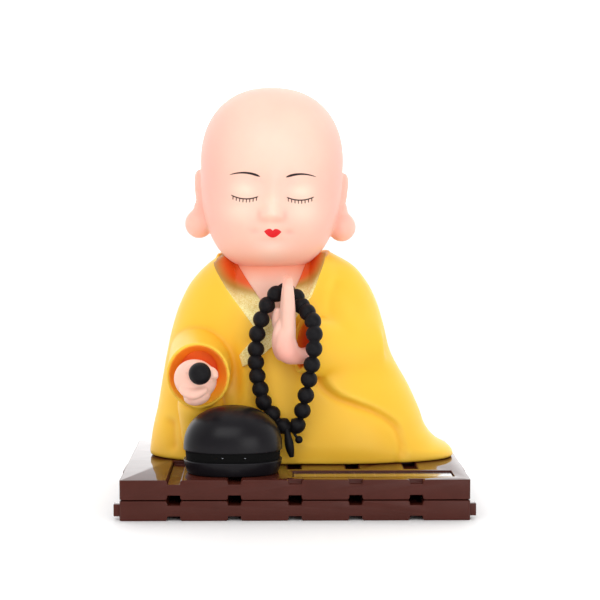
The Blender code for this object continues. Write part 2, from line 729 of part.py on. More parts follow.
def collar_cutters(guides):
    """What the collar opening takes out of the robe: room for the head and neck, and the V down the chest."""
    bowl = head_form("collar_bowl", guides, 28, 20, grow=1.6)
    low = [half + PLAY for half in CHEST_LOW_SIZE]
    high = [half + PLAY for half in CHEST_TOP_SIZE]
    neck = tube("collar_neck", CHEST_LOW, CHEST_TOP, low, high, guides, 24, 2)
    x, z = COLLAR_POINT
    up = 30.0
    corners = [(x, z), (x + up * COLLAR_LEAN[1], z + up), (x - up * COLLAR_LEAN[0], z + up)]
    bm = bmesh.new()
    face = bm.faces.new([bm.verts.new(Vector((px, -30.0, pz)) * UNIT) for px, pz in corners])
    made = bmesh.ops.extrude_face_region(bm, geom=[face])
    moved = [g for g in made["geom"] if isinstance(g, bmesh.types.BMVert)]
    bmesh.ops.translate(bm, vec=(0, 27 * UNIT, 0), verts=moved)
    wedge = object_from(bm, "collar_wedge", guides)
    return [bowl, neck, wedge]


def robe(parts, guides):
    """The robe with its two sleeves, open at the collar and at both cuffs."""
    shell = robe_shell("robe_shell", guides, 200, 110)
    right = tube("right_sleeve", RIGHT_ELBOW, RIGHT_CUFF, (9.6, 11.0), (8.5, 9.1), guides)
    left = tube("left_sleeve", LEFT_ELBOW, LEFT_CUFF, (8.0, 10.5), (5.8, 8.6), guides)
    made = melt("robe", [shell, right, left], 0.8, 7, parts)
    thin_out(made, 2000)
    for side, line in (("left", LEFT_BAND), ("right", RIGHT_BAND)):
        combine(made, collar_band(f"{side}_band", line, guides), "UNION")
    deep = RIGHT_CUFF.lerp(RIGHT_ELBOW, 0.55)
    mouths = [tube("right_mouth", deep, RIGHT_CUFF.lerp(RIGHT_ELBOW, -0.3), (6.6, 7.0), (8.0, 8.6), guides, 24, 2)]
    deep = LEFT_CUFF.lerp(LEFT_ELBOW, 0.42)
    mouths.append(tube("left_mouth", deep, LEFT_CUFF.lerp(LEFT_ELBOW, -0.3), (3.8, 5.8), (4.9, 7.8), guides, 24, 2))
    for cutter in collar_cutters(guides) + mouths:
        combine(made, cutter, "DIFFERENCE")
    return made


def neck_and_chest(parts, guides):
    """The neck and the bare chest in the collar opening, seated under the head."""
    low = CHEST_LOW + Vector((0, 0, PLAY))
    made = tube("neck_and_chest", low, CHEST_TOP, CHEST_LOW_SIZE, CHEST_TOP_SIZE, parts, 24, 2)
    combine(made, head_form("head_seat", guides, 24, 18, grow=0.8), "DIFFERENCE")
    return made


def mallet_room(guides):
    """The room that the mallet takes out of the fist, with play all round."""
    back = MALLET_HEAD + Vector((0, MALLET_STICK_LENGTH + PLAY, 0))
    hole = MALLET_STICK_RADIUS + PLAY
    ball = ellipsoid("ball_room", MALLET_HEAD, (MALLET_HEAD_RADIUS + PLAY,) * 3, guides, segments=16, rings=10)
    stick = tube("stick_room", back, MALLET_HEAD, (hole, hole), (hole, hole), guides, 12, 2)
    return [ball, stick]


def fist(parts, guides):
    """The right hand closed round the mallet: palm, four fingers, thumb and a forearm up the sleeve."""
    axis = Vector((MALLET_HEAD.x, 0, MALLET_HEAD.z))
    shapes = [ellipsoid("fist_palm", FIST + Vector((-1.2, 2.6, 0.4)), (5.2, 5.6, 5.9), guides)]
    for i in range(4):
        y = FIST.y - 3.2 + 2.5 * i
        reach = 3.9 + 0.35 * i
        ring = []
        for degrees in range(150, 381, 23):
            angle = math.radians(degrees)
            ring.append((axis.x + reach * math.cos(angle) - 0.4, y, axis.z - 1.2 + reach * math.sin(angle)))
        shapes.append(sausage(f"finger_{i}", ring, [1.9, 2.0, 1.9, 1.75, 1.6], guides, 8))
    thumb = [FIST + Vector(p) for p in ((-4.2, 1.0, 3.4), (-2.4, -2.0, 5.4), (1.8, -2.6, 6.0))]
    shapes.append(sausage("thumb", thumb, [2.2, 2.1, 1.7], guides, 8))
    wrist = [FIST + Vector((0, 4.0, 0)), RIGHT_CUFF.lerp(RIGHT_ELBOW, 0.28)]
    shapes.append(sausage("forearm", wrist, [4.6, 4.4], guides, 12))
    made = melt("mallet_hand", shapes, 0.45, 3, parts)
    thin_out(made, 560)
    for cutter in mallet_room(guides):
        combine(made, cutter, "DIFFERENCE")
    return made


def mallet(parts, guides):
    """The mallet: a round head on a stick, pointing forward out of the fist."""
    back = MALLET_HEAD + Vector((0, MALLET_STICK_LENGTH, 0))
    ball = ellipsoid("mallet", MALLET_HEAD, (MALLET_HEAD_RADIUS,) * 3, parts, segments=16, rings=10)
    stick = tube("mallet_stick", back, MALLET_HEAD, (MALLET_STICK_RADIUS,) * 2, (MALLET_STICK_RADIUS,) * 2, guides, 12, 2)
    combine(ball, stick, "UNION")
    return ball


def praying_hand(parts, guides):
    """The left hand held upright before the chest, its edge to the front, and a wrist up the sleeve."""
    shapes = []
    lengths = (0.86, 1.0, 0.97, 0.84)
    for i, length in enumerate(lengths):
        y = 1.8 - 2.0 * i
        root = PALM + Vector((-0.2, y, 2.0))
        tip = FINGERTIP + Vector((0, y, 0))
        end = root.lerp(tip, length)
        middle = root.lerp(end, 0.55) + Vector((-0.2, 0, 0))
        shapes.append(sausage(f"praying_finger_{i}", [root, middle, end], [1.9, 1.75, 1.35], guides, 8))
    shapes.append(ellipsoid("praying_palm", PALM + Vector((-0.3, -0.2, 0.2)), (3.6, 4.4, 7.0), guides))
    thumb = [PALM + Vector(p) for p in ((-0.4, 3.6, 1.0), (-1.9, 4.6, 5.0), (-1.8, 4.2, 9.0))]
    shapes.append(sausage("praying_thumb", thumb, [1.9, 1.7, 1.35], guides, 8))
    wrist = [PALM + Vector((0.2, 0.0, -3.0)), PALM + Vector((3.0, 0.4, -3.6)), LEFT_CUFF.lerp(LEFT_ELBOW, 0.18)]
    shapes.append(sausage("praying_wrist", wrist, [2.9, 3.1, 3.1], guides, 12))
    made = melt("praying_hand", shapes, 0.45, 3, parts)
    thin_out(made, 620)
    return made


def bead_string(parts, guides):
    """The prayer beads: a closed string whose radius swells at each bead, with a pendant and a knot below."""
    around = dense([*BEAD_ROUND, BEAD_ROUND[0]], 40)
    steps = np.linalg.norm(np.diff(around, axis=0), axis=1)
    along = np.concatenate([[0], np.cumsum(steps)])
    per_bead = 4
    count = BEAD_COUNT * per_bead
    curve = bpy.data.curves.new("prayer_beads", "CURVE")
    curve.dimensions = "3D"
    curve.bevel_depth = UNIT
    curve.bevel_resolution = 1
    spline = curve.splines.new("POLY")
    spline.points.add(count - 1)
    spline.use_cyclic_u = True
    pitch = along[-1] / BEAD_COUNT
    for k, point in enumerate(spline.points):
        at = k * along[-1] / count
        place = [np.interp(at, along, around[:, i]) for i in range(3)]
        off = (k % per_bead) / per_bead - 0.5
        inside = max(0.0, 1 - (2 * off * pitch / BEAD_DIAMETER) ** 2)
        point.co = (*(Vector(place) * UNIT), 1.0)
        point.radius = max(0.9, BEAD_DIAMETER / 2 * math.sqrt(inside))
    made = bpy.data.objects.new("prayer_beads", curve)
    parts.objects.link(made)
    string = as_mesh(made, parts)
    low = Vector(min(BEAD_ROUND, key=lambda p: p[2]))
    drop = [low + Vector((-0.6, -0.3, -0.6)), low + Vector((-0.4, -0.3, -3.4)), low + Vector((0.2, -0.3, -5.4))]
    pendant = sausage("pendant", drop, [1.0, 1.5, 0.8], guides, 12)
    knot = sausage("bead_knot", [low + Vector((0.8, 0, -1.0)), low + Vector((2.9, -0.2, -3.2))], [0.7, 1.05], guides, 12)
    combine(string, pendant, "UNION")
    combine(string, knot, "UNION")
    return string


def main():
    clear_scene()
    parts = collection_named("little_monk_ornament")
    base_guides = collection_named("base_guides")
    figure_guides = collection_named("figure_guides")
    materials = {name: material_named(name) for name in COLOURS}

    finish(lower_tier(parts, base_guides), materials["brown_plastic"])
    finish(upper_tier(parts, base_guides), materials["brown_plastic"])
    finish(solar_cell(parts), materials["solar_cell"])
    finish(wooden_fish(parts), materials["fish_black"])

    figure = [
        (robe(parts, figure_guides), "robe_yellow"),
        (neck_and_chest(parts, figure_guides), "skin"),
        (head(parts, figure_guides), "skin"),
        (fist(parts, figure_guides), "skin"),
        (praying_hand(parts, figure_guides), "skin"),
        (mallet(parts, figure_guides), "bead_black"),
        (bead_string(parts, figure_guides), "bead_black"),
    ]
    for obj, material in figure:
        finish(obj, materials[material])

    foot = bpy.data.objects.new("figure_foot", None)
    parts.objects.link(foot)
    foot.location = FIGURE_FOOT
    for obj in [obj for obj, _ in figure] + list(figure_guides.objects):
        obj.parent = foot
    for guide in list(base_guides.objects) + list(figure_guides.objects):
        guide.hide_render = True
        guide.display_type = "WIRE"


main()
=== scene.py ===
# %% [markdown]
# # A little monk for the desk
# The real thing is a moulded plastic ornament: a small monk in a yellow robe behind a wooden fish drum,
# on a chocolate-brown base of slatted planks. The solids of the part are loaded first as a fixed frame,
# because every piece made here has to sit where the frame says.

# %% Load the frame
import math

import bmesh
import bpy
import numpy as np
from mathutils import Matrix, Vector


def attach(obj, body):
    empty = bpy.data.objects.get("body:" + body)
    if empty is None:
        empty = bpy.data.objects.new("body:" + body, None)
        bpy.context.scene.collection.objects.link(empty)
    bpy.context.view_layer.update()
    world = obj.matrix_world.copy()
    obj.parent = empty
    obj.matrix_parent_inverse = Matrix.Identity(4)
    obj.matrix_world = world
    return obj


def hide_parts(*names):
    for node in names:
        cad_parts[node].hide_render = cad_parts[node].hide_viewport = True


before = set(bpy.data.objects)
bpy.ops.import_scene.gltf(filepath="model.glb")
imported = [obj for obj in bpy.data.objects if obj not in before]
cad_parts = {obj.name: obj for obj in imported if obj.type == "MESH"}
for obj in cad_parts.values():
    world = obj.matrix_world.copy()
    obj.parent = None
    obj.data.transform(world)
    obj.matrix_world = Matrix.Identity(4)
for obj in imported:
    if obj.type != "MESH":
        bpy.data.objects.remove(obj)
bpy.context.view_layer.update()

# %% [markdown]
# ## Tools for modelling
# All sizes are in millimetres, as on a maker's drawing, and one factor turns them to metres. The small
# functions here do what a hand does with the mouse: pick pieces, start a block or a ball at its size and
# place, pick faces in edit mode and apply a modifier. An operator acts on all that is selected, and the
# frame's nodes come in selected, so everything is deselected before each new piece.

# %% Start, pick and shape pieces
MM = 0.001
print("all sizes are in millimetres, each", MM, "m")


def pick(*pieces):
    """Selects only these pieces, with the first of them active."""
    bpy.ops.object.select_all(action="DESELECT")
    for piece in pieces:
        piece.select_set(True)
    bpy.context.view_layer.objects.active = pieces[0]


def points_of(piece):
    """The piece's vertices, in millimetres."""
    flat = np.empty(len(piece.data.vertices) * 3)
    piece.data.vertices.foreach_get("co", flat)
    return flat.reshape(-1, 3) / MM


def move_points(piece, points):
    piece.data.vertices.foreach_set("co", (np.asarray(points) * MM).ravel())
    piece.data.update()


def named(name):
    """Names the piece that was just made."""
    made = bpy.context.object
    made.name = made.data.name = name
    return made


def block(name, low, high):
    """A box between two corners."""
    low, high = Vector(low) * MM, Vector(high) * MM
    bpy.ops.object.select_all(action="DESELECT")
    bpy.ops.mesh.primitive_cube_add(size=1, location=(low + high) / 2)
    made = named(name)
    made.scale = high - low
    bpy.ops.object.transform_apply(location=True, rotation=True, scale=True)
    return made


def unit_ball(name, segments, rings):
    """A ball of radius 1 mm, whose points are then moved to a form."""
    bpy.ops.object.select_all(action="DESELECT")
    bpy.ops.mesh.primitive_uv_sphere_add(segments=segments, ring_count=rings, radius=MM)
    return named(name)


def ball(name, centre, half_sizes, turn=0.0, segments=40, rings=28):
    """An egg shape with three half sizes, turned by some degrees about the front-to-back axis."""
    made = unit_ball(name, segments, rings)
    angle = math.radians(turn)
    spin = np.array([[math.cos(angle), 0, math.sin(angle)], [0, 1, 0], [-math.sin(angle), 0, math.cos(angle)]])
    move_points(made, points_of(made) * np.asarray(half_sizes) @ spin.T + np.asarray(centre))
    return made


def copied(piece, shift):
    """A copy with its own mesh, moved by a shift."""
    pick(piece)
    bpy.ops.object.duplicate()
    made = bpy.context.object
    move_points(made, points_of(made) + np.asarray(shift))
    return made


def apply_modifier(piece, kind, **settings):
    """Adds a modifier and makes its result the piece's own mesh."""
    pick(piece)
    modifier = piece.modifiers.new(kind.title(), kind)
    for name, value in settings.items():
        setattr(modifier, name, value)
    bpy.ops.object.modifier_apply(modifier=modifier.name)


def cut_out(piece, cutter, operation="DIFFERENCE"):
    """Takes the cutter out of the piece, or joins it on, and clears the cutter away."""
    apply_modifier(piece, "BOOLEAN", operation=operation, solver="EXACT", object=cutter)
    bpy.data.objects.remove(cutter)


def select_in_edit_mode(piece, mode, chosen):
    """Enters edit mode with only those edges or faces selected that chosen() says yes to."""
    pick(piece)
    bpy.ops.object.mode_set(mode="EDIT")
    bpy.ops.mesh.select_mode(type=mode)
    bpy.ops.mesh.select_all(action="DESELECT")
    mesh = bmesh.from_edit_mesh(piece.data)
    for item in mesh.faces if mode == "FACE" else mesh.edges:
        item.select_set(bool(chosen(item)))
    mesh.select_flush_mode()
    bmesh.update_edit_mesh(piece.data)


def leave_edit_mode():
    bpy.ops.object.mode_set(mode="OBJECT")


def joined(name, pieces):
    """Several pieces as one mesh."""
    pick(*pieces)
    bpy.ops.object.join()
    return named(name)


def run_together(piece, voxel, smoothing):
    """Melts overlapping forms into one skin, as a caster's wax model, and softens the joins."""
    apply_modifier(piece, "REMESH", mode="VOXEL", voxel_size=voxel * MM, use_smooth_shade=True)
    apply_modifier(piece, "SMOOTH", factor=0.5, iterations=smoothing)


# %% [markdown]
# ## Tools for drawing forms
# The round forms are too soft to be drawn with blocks. Each is a ball or ring whose points are moved in
# code, as a sculptor pushes clay, along curves that go through a few measured points.

# %% Curves, hills and steps
def curve_through(places, values, at):
    """Smooth values between some given ones, at places in rising order."""
    places, values = np.asarray(places, float), np.asarray(values, float)
    slopes = np.gradient(values, places)
    at = np.clip(at, places[0], places[-1])
    i = np.clip(np.searchsorted(places, at) - 1, 0, len(places) - 2)
    step = places[i + 1] - places[i]
    t = (at - places[i]) / step
    a, b = values[i], values[i + 1]
    m, n = slopes[i] * step, slopes[i + 1] * step
    return a + t * (m + t * (3 * (b - a) - 2 * m - n + t * (2 * (a - b) + m + n)))


def line_at(points, share):
    """Points on the smooth line through some points, at shares from 0 to 1 of its length in points."""
    points = np.asarray(points, float)
    place = np.arange(len(points))
    at = np.asarray(share) * (len(points) - 1)
    return np.stack([curve_through(place, points[:, i], at) for i in range(points.shape[1])], -1)


def smoothstep(low, high, at):
    t = np.clip((at - low) / (high - low), 0, 1)
    return t * t * (3 - 2 * t)


def hill(x, z, centre, reach, turn=0.0):
    """A soft round hill of height 1 over the front view."""
    c, s = math.cos(math.radians(turn)), math.sin(math.radians(turn))
    dx, dz = x - centre[0], z - centre[1]
    along, across = dx * c + dz * s, dz * c - dx * s
    return np.exp(-((along / reach[0]) ** 2) - (across / reach[1]) ** 2)


def line_distance(x, z, points):
    """How far (x, z) is from a line, above 0 on its right, and the share along it."""
    line = line_at(points, np.linspace(0, 1, 8 * len(points)))
    best = np.full(np.shape(x), 1e9)
    signed, share = np.zeros(np.shape(x)), np.zeros(np.shape(x))
    for i in range(len(line) - 1):
        (ax, az), (bx, bz) = line[i], line[i + 1]
        dx, dz = bx - ax, bz - az
        t = np.clip(((x - ax) * dx + (z - az) * dz) / (dx * dx + dz * dz), 0, 1)
        px, pz = x - ax - t * dx, z - az - t * dz
        far = np.hypot(px, pz)
        nearer = far < best
        best = np.where(nearer, far, best)
        signed = np.where(nearer, np.where(px * dz - pz * dx >= 0, far, -far), signed)
        share = np.where(nearer, (i + t) / (len(line) - 1), share)
    return signed, share


def rounded(at, power):
    """1 in the middle and 0 at -1 and 1; the higher the power, the later it falls."""
    return np.clip(1 - np.abs(at) ** power, 0, 1) ** (1 / power)


def unit(vectors):
    return vectors / np.linalg.norm(vectors, axis=-1, keepdims=True)


def drawn_out(name, path, radii, across, segments=24, rings=40, blunt=5.0):
    """A ball drawn out along a line, with a radius at each of its points and round ends.

    across is a direction that the line never runs along, and blunt says how late the ends close."""
    made = unit_ball(name, segments, rings)
    points = points_of(made)
    share = (np.clip(points[:, 2], -1, 1) + 1) / 2
    place, step = line_at(path, share), 0.01
    ahead = unit(line_at(path, np.clip(share + step, 0, 1)) - line_at(path, np.clip(share - step, 0, 1)))
    side = unit(np.cross(ahead, np.asarray(across, float)))
    other = np.cross(ahead, side)
    size = line_at(np.asarray(radii, float)[:, None], share)[:, 0]
    size = size * rounded(points[:, 2], blunt)
    turn = np.arctan2(points[:, 1], points[:, 0])
    place = place + side * (size * np.cos(turn))[:, None] + other * (size * np.sin(turn))[:, None]
    move_points(made, place)
    return made


def cone(name, start, end, start_size, end_size, sides=64):
    """A tapered tube with flat ends; the sizes are half width and half height."""
    bpy.ops.object.select_all(action="DESELECT")
    bpy.ops.mesh.primitive_cylinder_add(vertices=sides, radius=MM, depth=2 * MM)
    made = named(name)
    start, end = np.asarray(start, float), np.asarray(end, float)
    ahead = unit(end - start)
    side = unit(np.cross([0, 0, 1.0], ahead))
    up = np.cross(ahead, side)
    points = points_of(made)
    t = (points[:, 2:] + 1) / 2
    size = np.asarray(start_size) * (1 - t) + np.asarray(end_size) * t
    placed = start * (1 - t) + end * t + side * points[:, :1] * size[:, :1] + up * points[:, 1:2] * size[:, 1:]
    move_points(made, placed)
    return made


# %% [markdown]
# ## Tools for materials
# A material is a small network of nodes. One function adds any node with its settings and links. Colours
# are written as the hex values a paint card gives, and one function turns them to the linear light that
# the renderer counts in.

# %% Colours, nodes and finished pieces
def linear(hex_colour):
    """A paint card's hex value as linear light."""
    values = [int(hex_colour[i : i + 2], 16) / 255 for i in (1, 3, 5)]
    return (*[v / 12.92 if v <= 0.04045 else ((v + 0.055) / 1.055) ** 2.4 for v in values], 1.0)


def add_node(tree, kind, inputs=None, **settings):
    """Adds a node; each input is a number, a colour or another node's output."""
    made = tree.nodes.new("ShaderNode" + kind)
    for name, value in settings.items():
        setattr(made, name, value)
    for key, value in (inputs or {}).items():
        if isinstance(value, bpy.types.NodeSocket):
            tree.links.new(value, made.inputs[key])
        else:
            made.inputs[key].default_value = value
    return made


def new_material(name, colour, **numbers):
    """A plain plastic to start from: its node tree and its shader."""
    made = bpy.data.materials.new(name)
    made.use_nodes = True
    shader = made.node_tree.nodes["Principled BSDF"]
    shader.inputs["Base Color"].default_value = linear(colour)
    for key, value in numbers.items():
        shader.inputs[key.replace("_", " ")].default_value = value
    made.diffuse_color = linear(colour)
    return made, made.node_tree, shader


def mould_grain(tree, shader, place, size, strength):
    """The shallow grain that a blasted steel mould leaves: it softens highlights and isn't seen itself."""
    grain = add_node(tree, "TexNoise", {"Vector": place, "Scale": 1 / (size * MM), "Detail": 2.0}).outputs["Fac"]
    bump = add_node(tree, "Bump", {"Height": grain, "Strength": strength, "Distance": 0.02 * MM}).outputs[0]
    tree.links.new(bump, shader.inputs["Normal"])


def finish_piece(piece, material, nodes, smooth=40.0):
    """Gives a piece its material and shading, and ties it to the frame."""
    pick(piece)
    if material is not None:
        piece.data.materials.clear()
        piece.data.materials.append(material)
    bpy.ops.object.shade_smooth_by_angle(angle=math.radians(smooth))
    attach(piece, "root")
    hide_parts(*nodes)
    size = points_of(piece)
    print(piece.name, "faces", len(piece.data.polygons), "mm", np.round(size.max(0) - size.min(0), 1))
    return piece


# %% [markdown]
# ## Chocolate-brown base plastic
# The base is polystyrene from a polished mould. Its deck is as glossy as a mirror, so it shows the robe and
# the white room upside down, while the sides are satin. One material does both: it reads which way the
# surface faces, and the deck gets a low roughness and a very slight ripple, as thin moulded plastic has.

# %% Base plastic
def base_plastic():
    made, tree, shader = new_material(
        "polystyrene_chocolate_brown", "#4A2018", Roughness=0.36, Specular_IOR_Level=0.2
    )
    place = add_node(tree, "TexCoord").outputs["Object"]
    up = add_node(tree, "SeparateXYZ", {0: add_node(tree, "NewGeometry").outputs["Normal"]}).outputs["Z"]
    deck = add_node(tree, "MapRange", {0: up, 1: 0.9, 2: 0.99}, interpolation_type="SMOOTHSTEP").outputs[0]
    rough = add_node(tree, "MapRange", {0: deck, 3: 0.36, 4: 0.035}).outputs[0]
    tree.links.new(rough, shader.inputs["Roughness"])
    mould = add_node(tree, "TexNoise", {"Vector": place, "Scale": 1 / (6 * MM), "Detail": 3.0}).outputs["Fac"]
    tint = add_node(
        tree, "Mix", {0: mould, 6: linear("#431A11"), 7: linear("#50231B")}, data_type="RGBA"
    ).outputs[2]
    tree.links.new(tint, shader.inputs["Base Color"])
    ripple = add_node(tree, "TexNoise", {"Vector": place, "Scale": 1 / (9 * MM), "Detail": 1.0}).outputs["Fac"]
    grain = add_node(tree, "TexNoise", {"Vector": place, "Scale": 1 / (0.5 * MM), "Detail": 2.0}).outputs["Fac"]
    both = add_node(tree, "Mix", {0: deck, 2: grain, 3: ripple}).outputs[0]
    depth = add_node(tree, "MapRange", {0: deck, 3: 0.012 * MM, 4: 0.05 * MM}).outputs[0]
    height = add_node(tree, "Math", {0: both, 1: depth}, operation="MULTIPLY").outputs[0]
    bump = add_node(tree, "Bump", {"Height": height, "Strength": 1.0, "Distance": 1.0}).outputs[0]
    tree.links.new(bump, shader.inputs["Normal"])
    return made


BROWN = base_plastic()
print("base finish", BROWN.name)

# %% [markdown]
# ## The two tiers of planks
# Each tier is one moulding that looks like six planks. It starts as a block with rounded corners. A groove
# is cut with a bar whose open side is extruded twice and widened, which gives the small slant at the
# groove's lip. Cutting is the direct way, because the grooves cross the whole base. The lugs and tabs at
# the sides are joined on.

# %% Tiers
BASE_WIDTH, BASE_DEPTH, TIER_HEIGHT, TIER_GAP = 100.0, 80.0, 5.7, 0.3
PLANK_COUNT, GROOVE_WIDTH, GROOVE_DEPTH, GROOVE_LIP = 6, 3.7, 1.3, 0.45
DECK = 2 * TIER_HEIGHT + TIER_GAP
PAST = BASE_DEPTH / 2 + 4.0
WINDOW_LOW, WINDOW_HIGH, WINDOW_DEPTH = (-0.6, -34.4), (46.0, -23.7), 1.4
LUG_REACH, LUG_MIDDLE, LUG_HALF, TAB_REACH, INSIDE = 51.8, 36.8, 1.8, 50.6, 48.0


def groove_cutter(x, y_low, y_high, edge, into):
    """A bar for one groove in the face at height edge; into is -1 for a cut down and 1 for one up."""
    half = GROOVE_WIDTH / 2
    ends = sorted((edge + into * GROOVE_DEPTH, edge + into * GROOVE_LIP))
    bar = block("groove", (x - half, y_low, ends[0]), (x + half, y_high, ends[1]))
    select_in_edit_mode(bar, "FACE", lambda face: face.normal.z * -into > 0.9)
    for rise, wide in ((GROOVE_LIP, half + GROOVE_LIP), (GROOVE_DEPTH, half + GROOVE_LIP + GROOVE_DEPTH)):
        bpy.ops.mesh.extrude_region_move(TRANSFORM_OT_translate={"value": (0, 0, -into * rise * MM)})
        bpy.ops.transform.resize(value=(wide / half, 1, 1), center_override=(x * MM, 0, edge * MM))
        half = wide
    leave_edit_mode()
    return bar


def tier(name, bottom):
    """A slab with rounded corners, before its grooves."""
    half_x, half_y = BASE_WIDTH / 2, BASE_DEPTH / 2
    slab = block(name, (-half_x, -half_y, bottom), (half_x, half_y, bottom + TIER_HEIGHT))
    select_in_edit_mode(slab, "EDGE", lambda edge: abs(edge.verts[0].co.z - edge.verts[1].co.z) > MM)
    bpy.ops.mesh.bevel(offset=0.8 * MM, segments=5, affect="EDGES")
    leave_edit_mode()
    return slab


pitch = (BASE_WIDTH + GROOVE_WIDTH) / PLANK_COUNT
grooves = [(i + 1) * pitch - GROOVE_WIDTH / 2 - BASE_WIDTH / 2 for i in range(PLANK_COUNT - 1)]

lower = tier("base_lower_planks", 0.0)
for x in grooves:
    cut_out(lower, groove_cutter(x, -PAST, PAST, 0.0, 1))
    cut_out(lower, groove_cutter(x, -PAST, PAST, TIER_HEIGHT, -1))
for side in (-1, 1):
    for end in (-1, 1):
        ends = sorted((side * INSIDE, side * LUG_REACH))
        middle = end * LUG_MIDDLE
        lug = block("lug", (ends[0], middle - LUG_HALF, 1.1), (ends[1], middle + LUG_HALF, 4.6))
        cut_out(lower, lug, "UNION")

upper = tier("base_upper_planks", TIER_HEIGHT + TIER_GAP)
for x in grooves:
    cut_out(upper, groove_cutter(x, -PAST, PAST, TIER_HEIGHT + TIER_GAP, 1))
    beside_window = WINDOW_LOW[0] - GROOVE_WIDTH < x < WINDOW_HIGH[0] + GROOVE_WIDTH
    runs = [(-PAST, -38.0), (-20.9, -4.0)] if beside_window else [(-PAST, -4.0)]
    for run in [*runs, (22.0, PAST)]:
        cut_out(upper, groove_cutter(x, *run, DECK, -1))
cut_out(upper, block("window", (*WINDOW_LOW, DECK - WINDOW_DEPTH), (*WINDOW_HIGH, DECK + 1)))
for side in (-1, 1):
    ends = sorted((side * INSIDE, side * TAB_REACH))
    cut_out(upper, block("tab", (ends[0], -20.0, 8.0), (ends[1], -6.0, 11.0)), "UNION")

for piece, node in ((lower, "base_lower_tier"), (upper, "base_upper_tier")):
    apply_modifier(piece, "BEVEL", width=0.22 * MM, segments=3, limit_method="ANGLE", angle_limit=math.radians(32))
    reach = (LUG_REACH, BASE_DEPTH / 2)
    move_points(piece, np.clip(points_of(piece), (-reach[0], -reach[1], 0), (*reach, DECK)))
    finish_piece(piece, BROWN, [node], 50)

# %% [markdown]
# ## Solar cell
# A dark plate of amorphous silicon lies in the deck's window under a clear cover. It is flat, so the frame's
# own node is right as it is, and only its finish is made: thin scribed lines every few millimetres, and a
# clear coat for the cover.

# %% Cell finish
def cell_finish():
    made, tree, shader = new_material(
        "silicon_cell_clear_cover", "#3A2026", Roughness=0.3, Coat_Weight=1.0, Coat_Roughness=0.04
    )
    place = add_node(tree, "TexCoord").outputs["Object"]
    along = add_node(tree, "SeparateXYZ", {0: place}).outputs["X"]
    turns = add_node(tree, "Math", {0: along, 1: 1 / (5.8 * MM)}, operation="MULTIPLY").outputs[0]
    part = add_node(tree, "Math", {0: turns}, operation="FRACT").outputs[0]
    line = add_node(tree, "Math", {0: part, 1: 0.05}, operation="LESS_THAN").outputs[0]
    cloud = add_node(tree, "TexNoise", {"Vector": place, "Scale": 1 / (4 * MM)}).outputs["Fac"]
    plate = add_node(tree, "Mix", {0: cloud, 6: linear("#2C161C"), 7: linear("#42252B")}, data_type="RGBA")
    tint = add_node(tree, "Mix", {0: line, 6: plate.outputs[2], 7: linear("#7C5A55")}, data_type="RGBA")
    tree.links.new(tint.outputs[2], shader.inputs["Base Color"])
    return made


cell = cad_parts["solar_cell"]
cell.data.materials.clear()
cell.data.materials.append(cell_finish())

# %% [markdown]
# ## Wooden fish drum
# The drum is moulded in black ABS as a bowl and a dome with a dark slit between them, and two small steel
# pins show in the slit. Bowl, dome and the throat inside are three rings of one profile, so each starts as
# a ball and its points are moved to the profile, whose plan is a rounded square.

# %% Drum
FISH_FOOT = np.array([-18.0, -24.8, DECK + 0.05])
FISH_HALF = np.array([14.65, 12.2])
FISH_TOP, BOWL_TOP, DOME_FOOT = 19.5, 4.1, 6.8
SLIT_MIDDLE, SLIT_HALF = 5.5, 1.35
PIN_PLACES, PIN_HEIGHT = (-20.7, -14.3), 5.6


def fish_share(z):
    """The share of its full plan that the drum has at a height."""
    belly = FISH_TOP * 0.36
    bowl = 1 - 0.10 * (np.clip(belly - z, 0, None) / belly) ** 2.2
    dome = np.clip(1 - (np.clip(z - belly, 0, None) / (FISH_TOP - belly)) ** 2.45, 0, 1) ** (1 / 2.1)
    return np.where(z < belly, bowl, dome)


def fish_form(name, low, high, inset, edge, rings=96):
    """The part of the drum between two heights, with edges rounded by edge."""
    made = unit_ball(name, 128, rings)
    points = points_of(made)
    lift = np.arcsin(np.clip(points[:, 2], -1, 1)) / (math.pi / 2)
    side = 0.72
    t = np.clip(lift / side, -1, 1)
    z = (low + high) / 2 + (high - low) / 2 * t
    flat = np.clip((1 - np.abs(lift)) / (1 - side), 0, 1)
    near = np.clip(np.minimum(z - low, high - z) / edge, 0, 1)
    share = fish_share(z) - inset / FISH_HALF[0] - edge / FISH_HALF[0] * (1 - np.sqrt(1 - (1 - near) ** 2))
    turn = np.arctan2(points[:, 1], points[:, 0])
    power = 2.35
    plan = (np.abs(np.cos(turn)) ** power + np.abs(np.sin(turn)) ** power) ** (-1 / power)
    reach = plan * share * flat
    x = reach * np.cos(turn) * FISH_HALF[0]
    y = reach * np.sin(turn) * FISH_HALF[1]
    move_points(made, np.stack([x, y, z], 1) + FISH_FOOT)
    return made


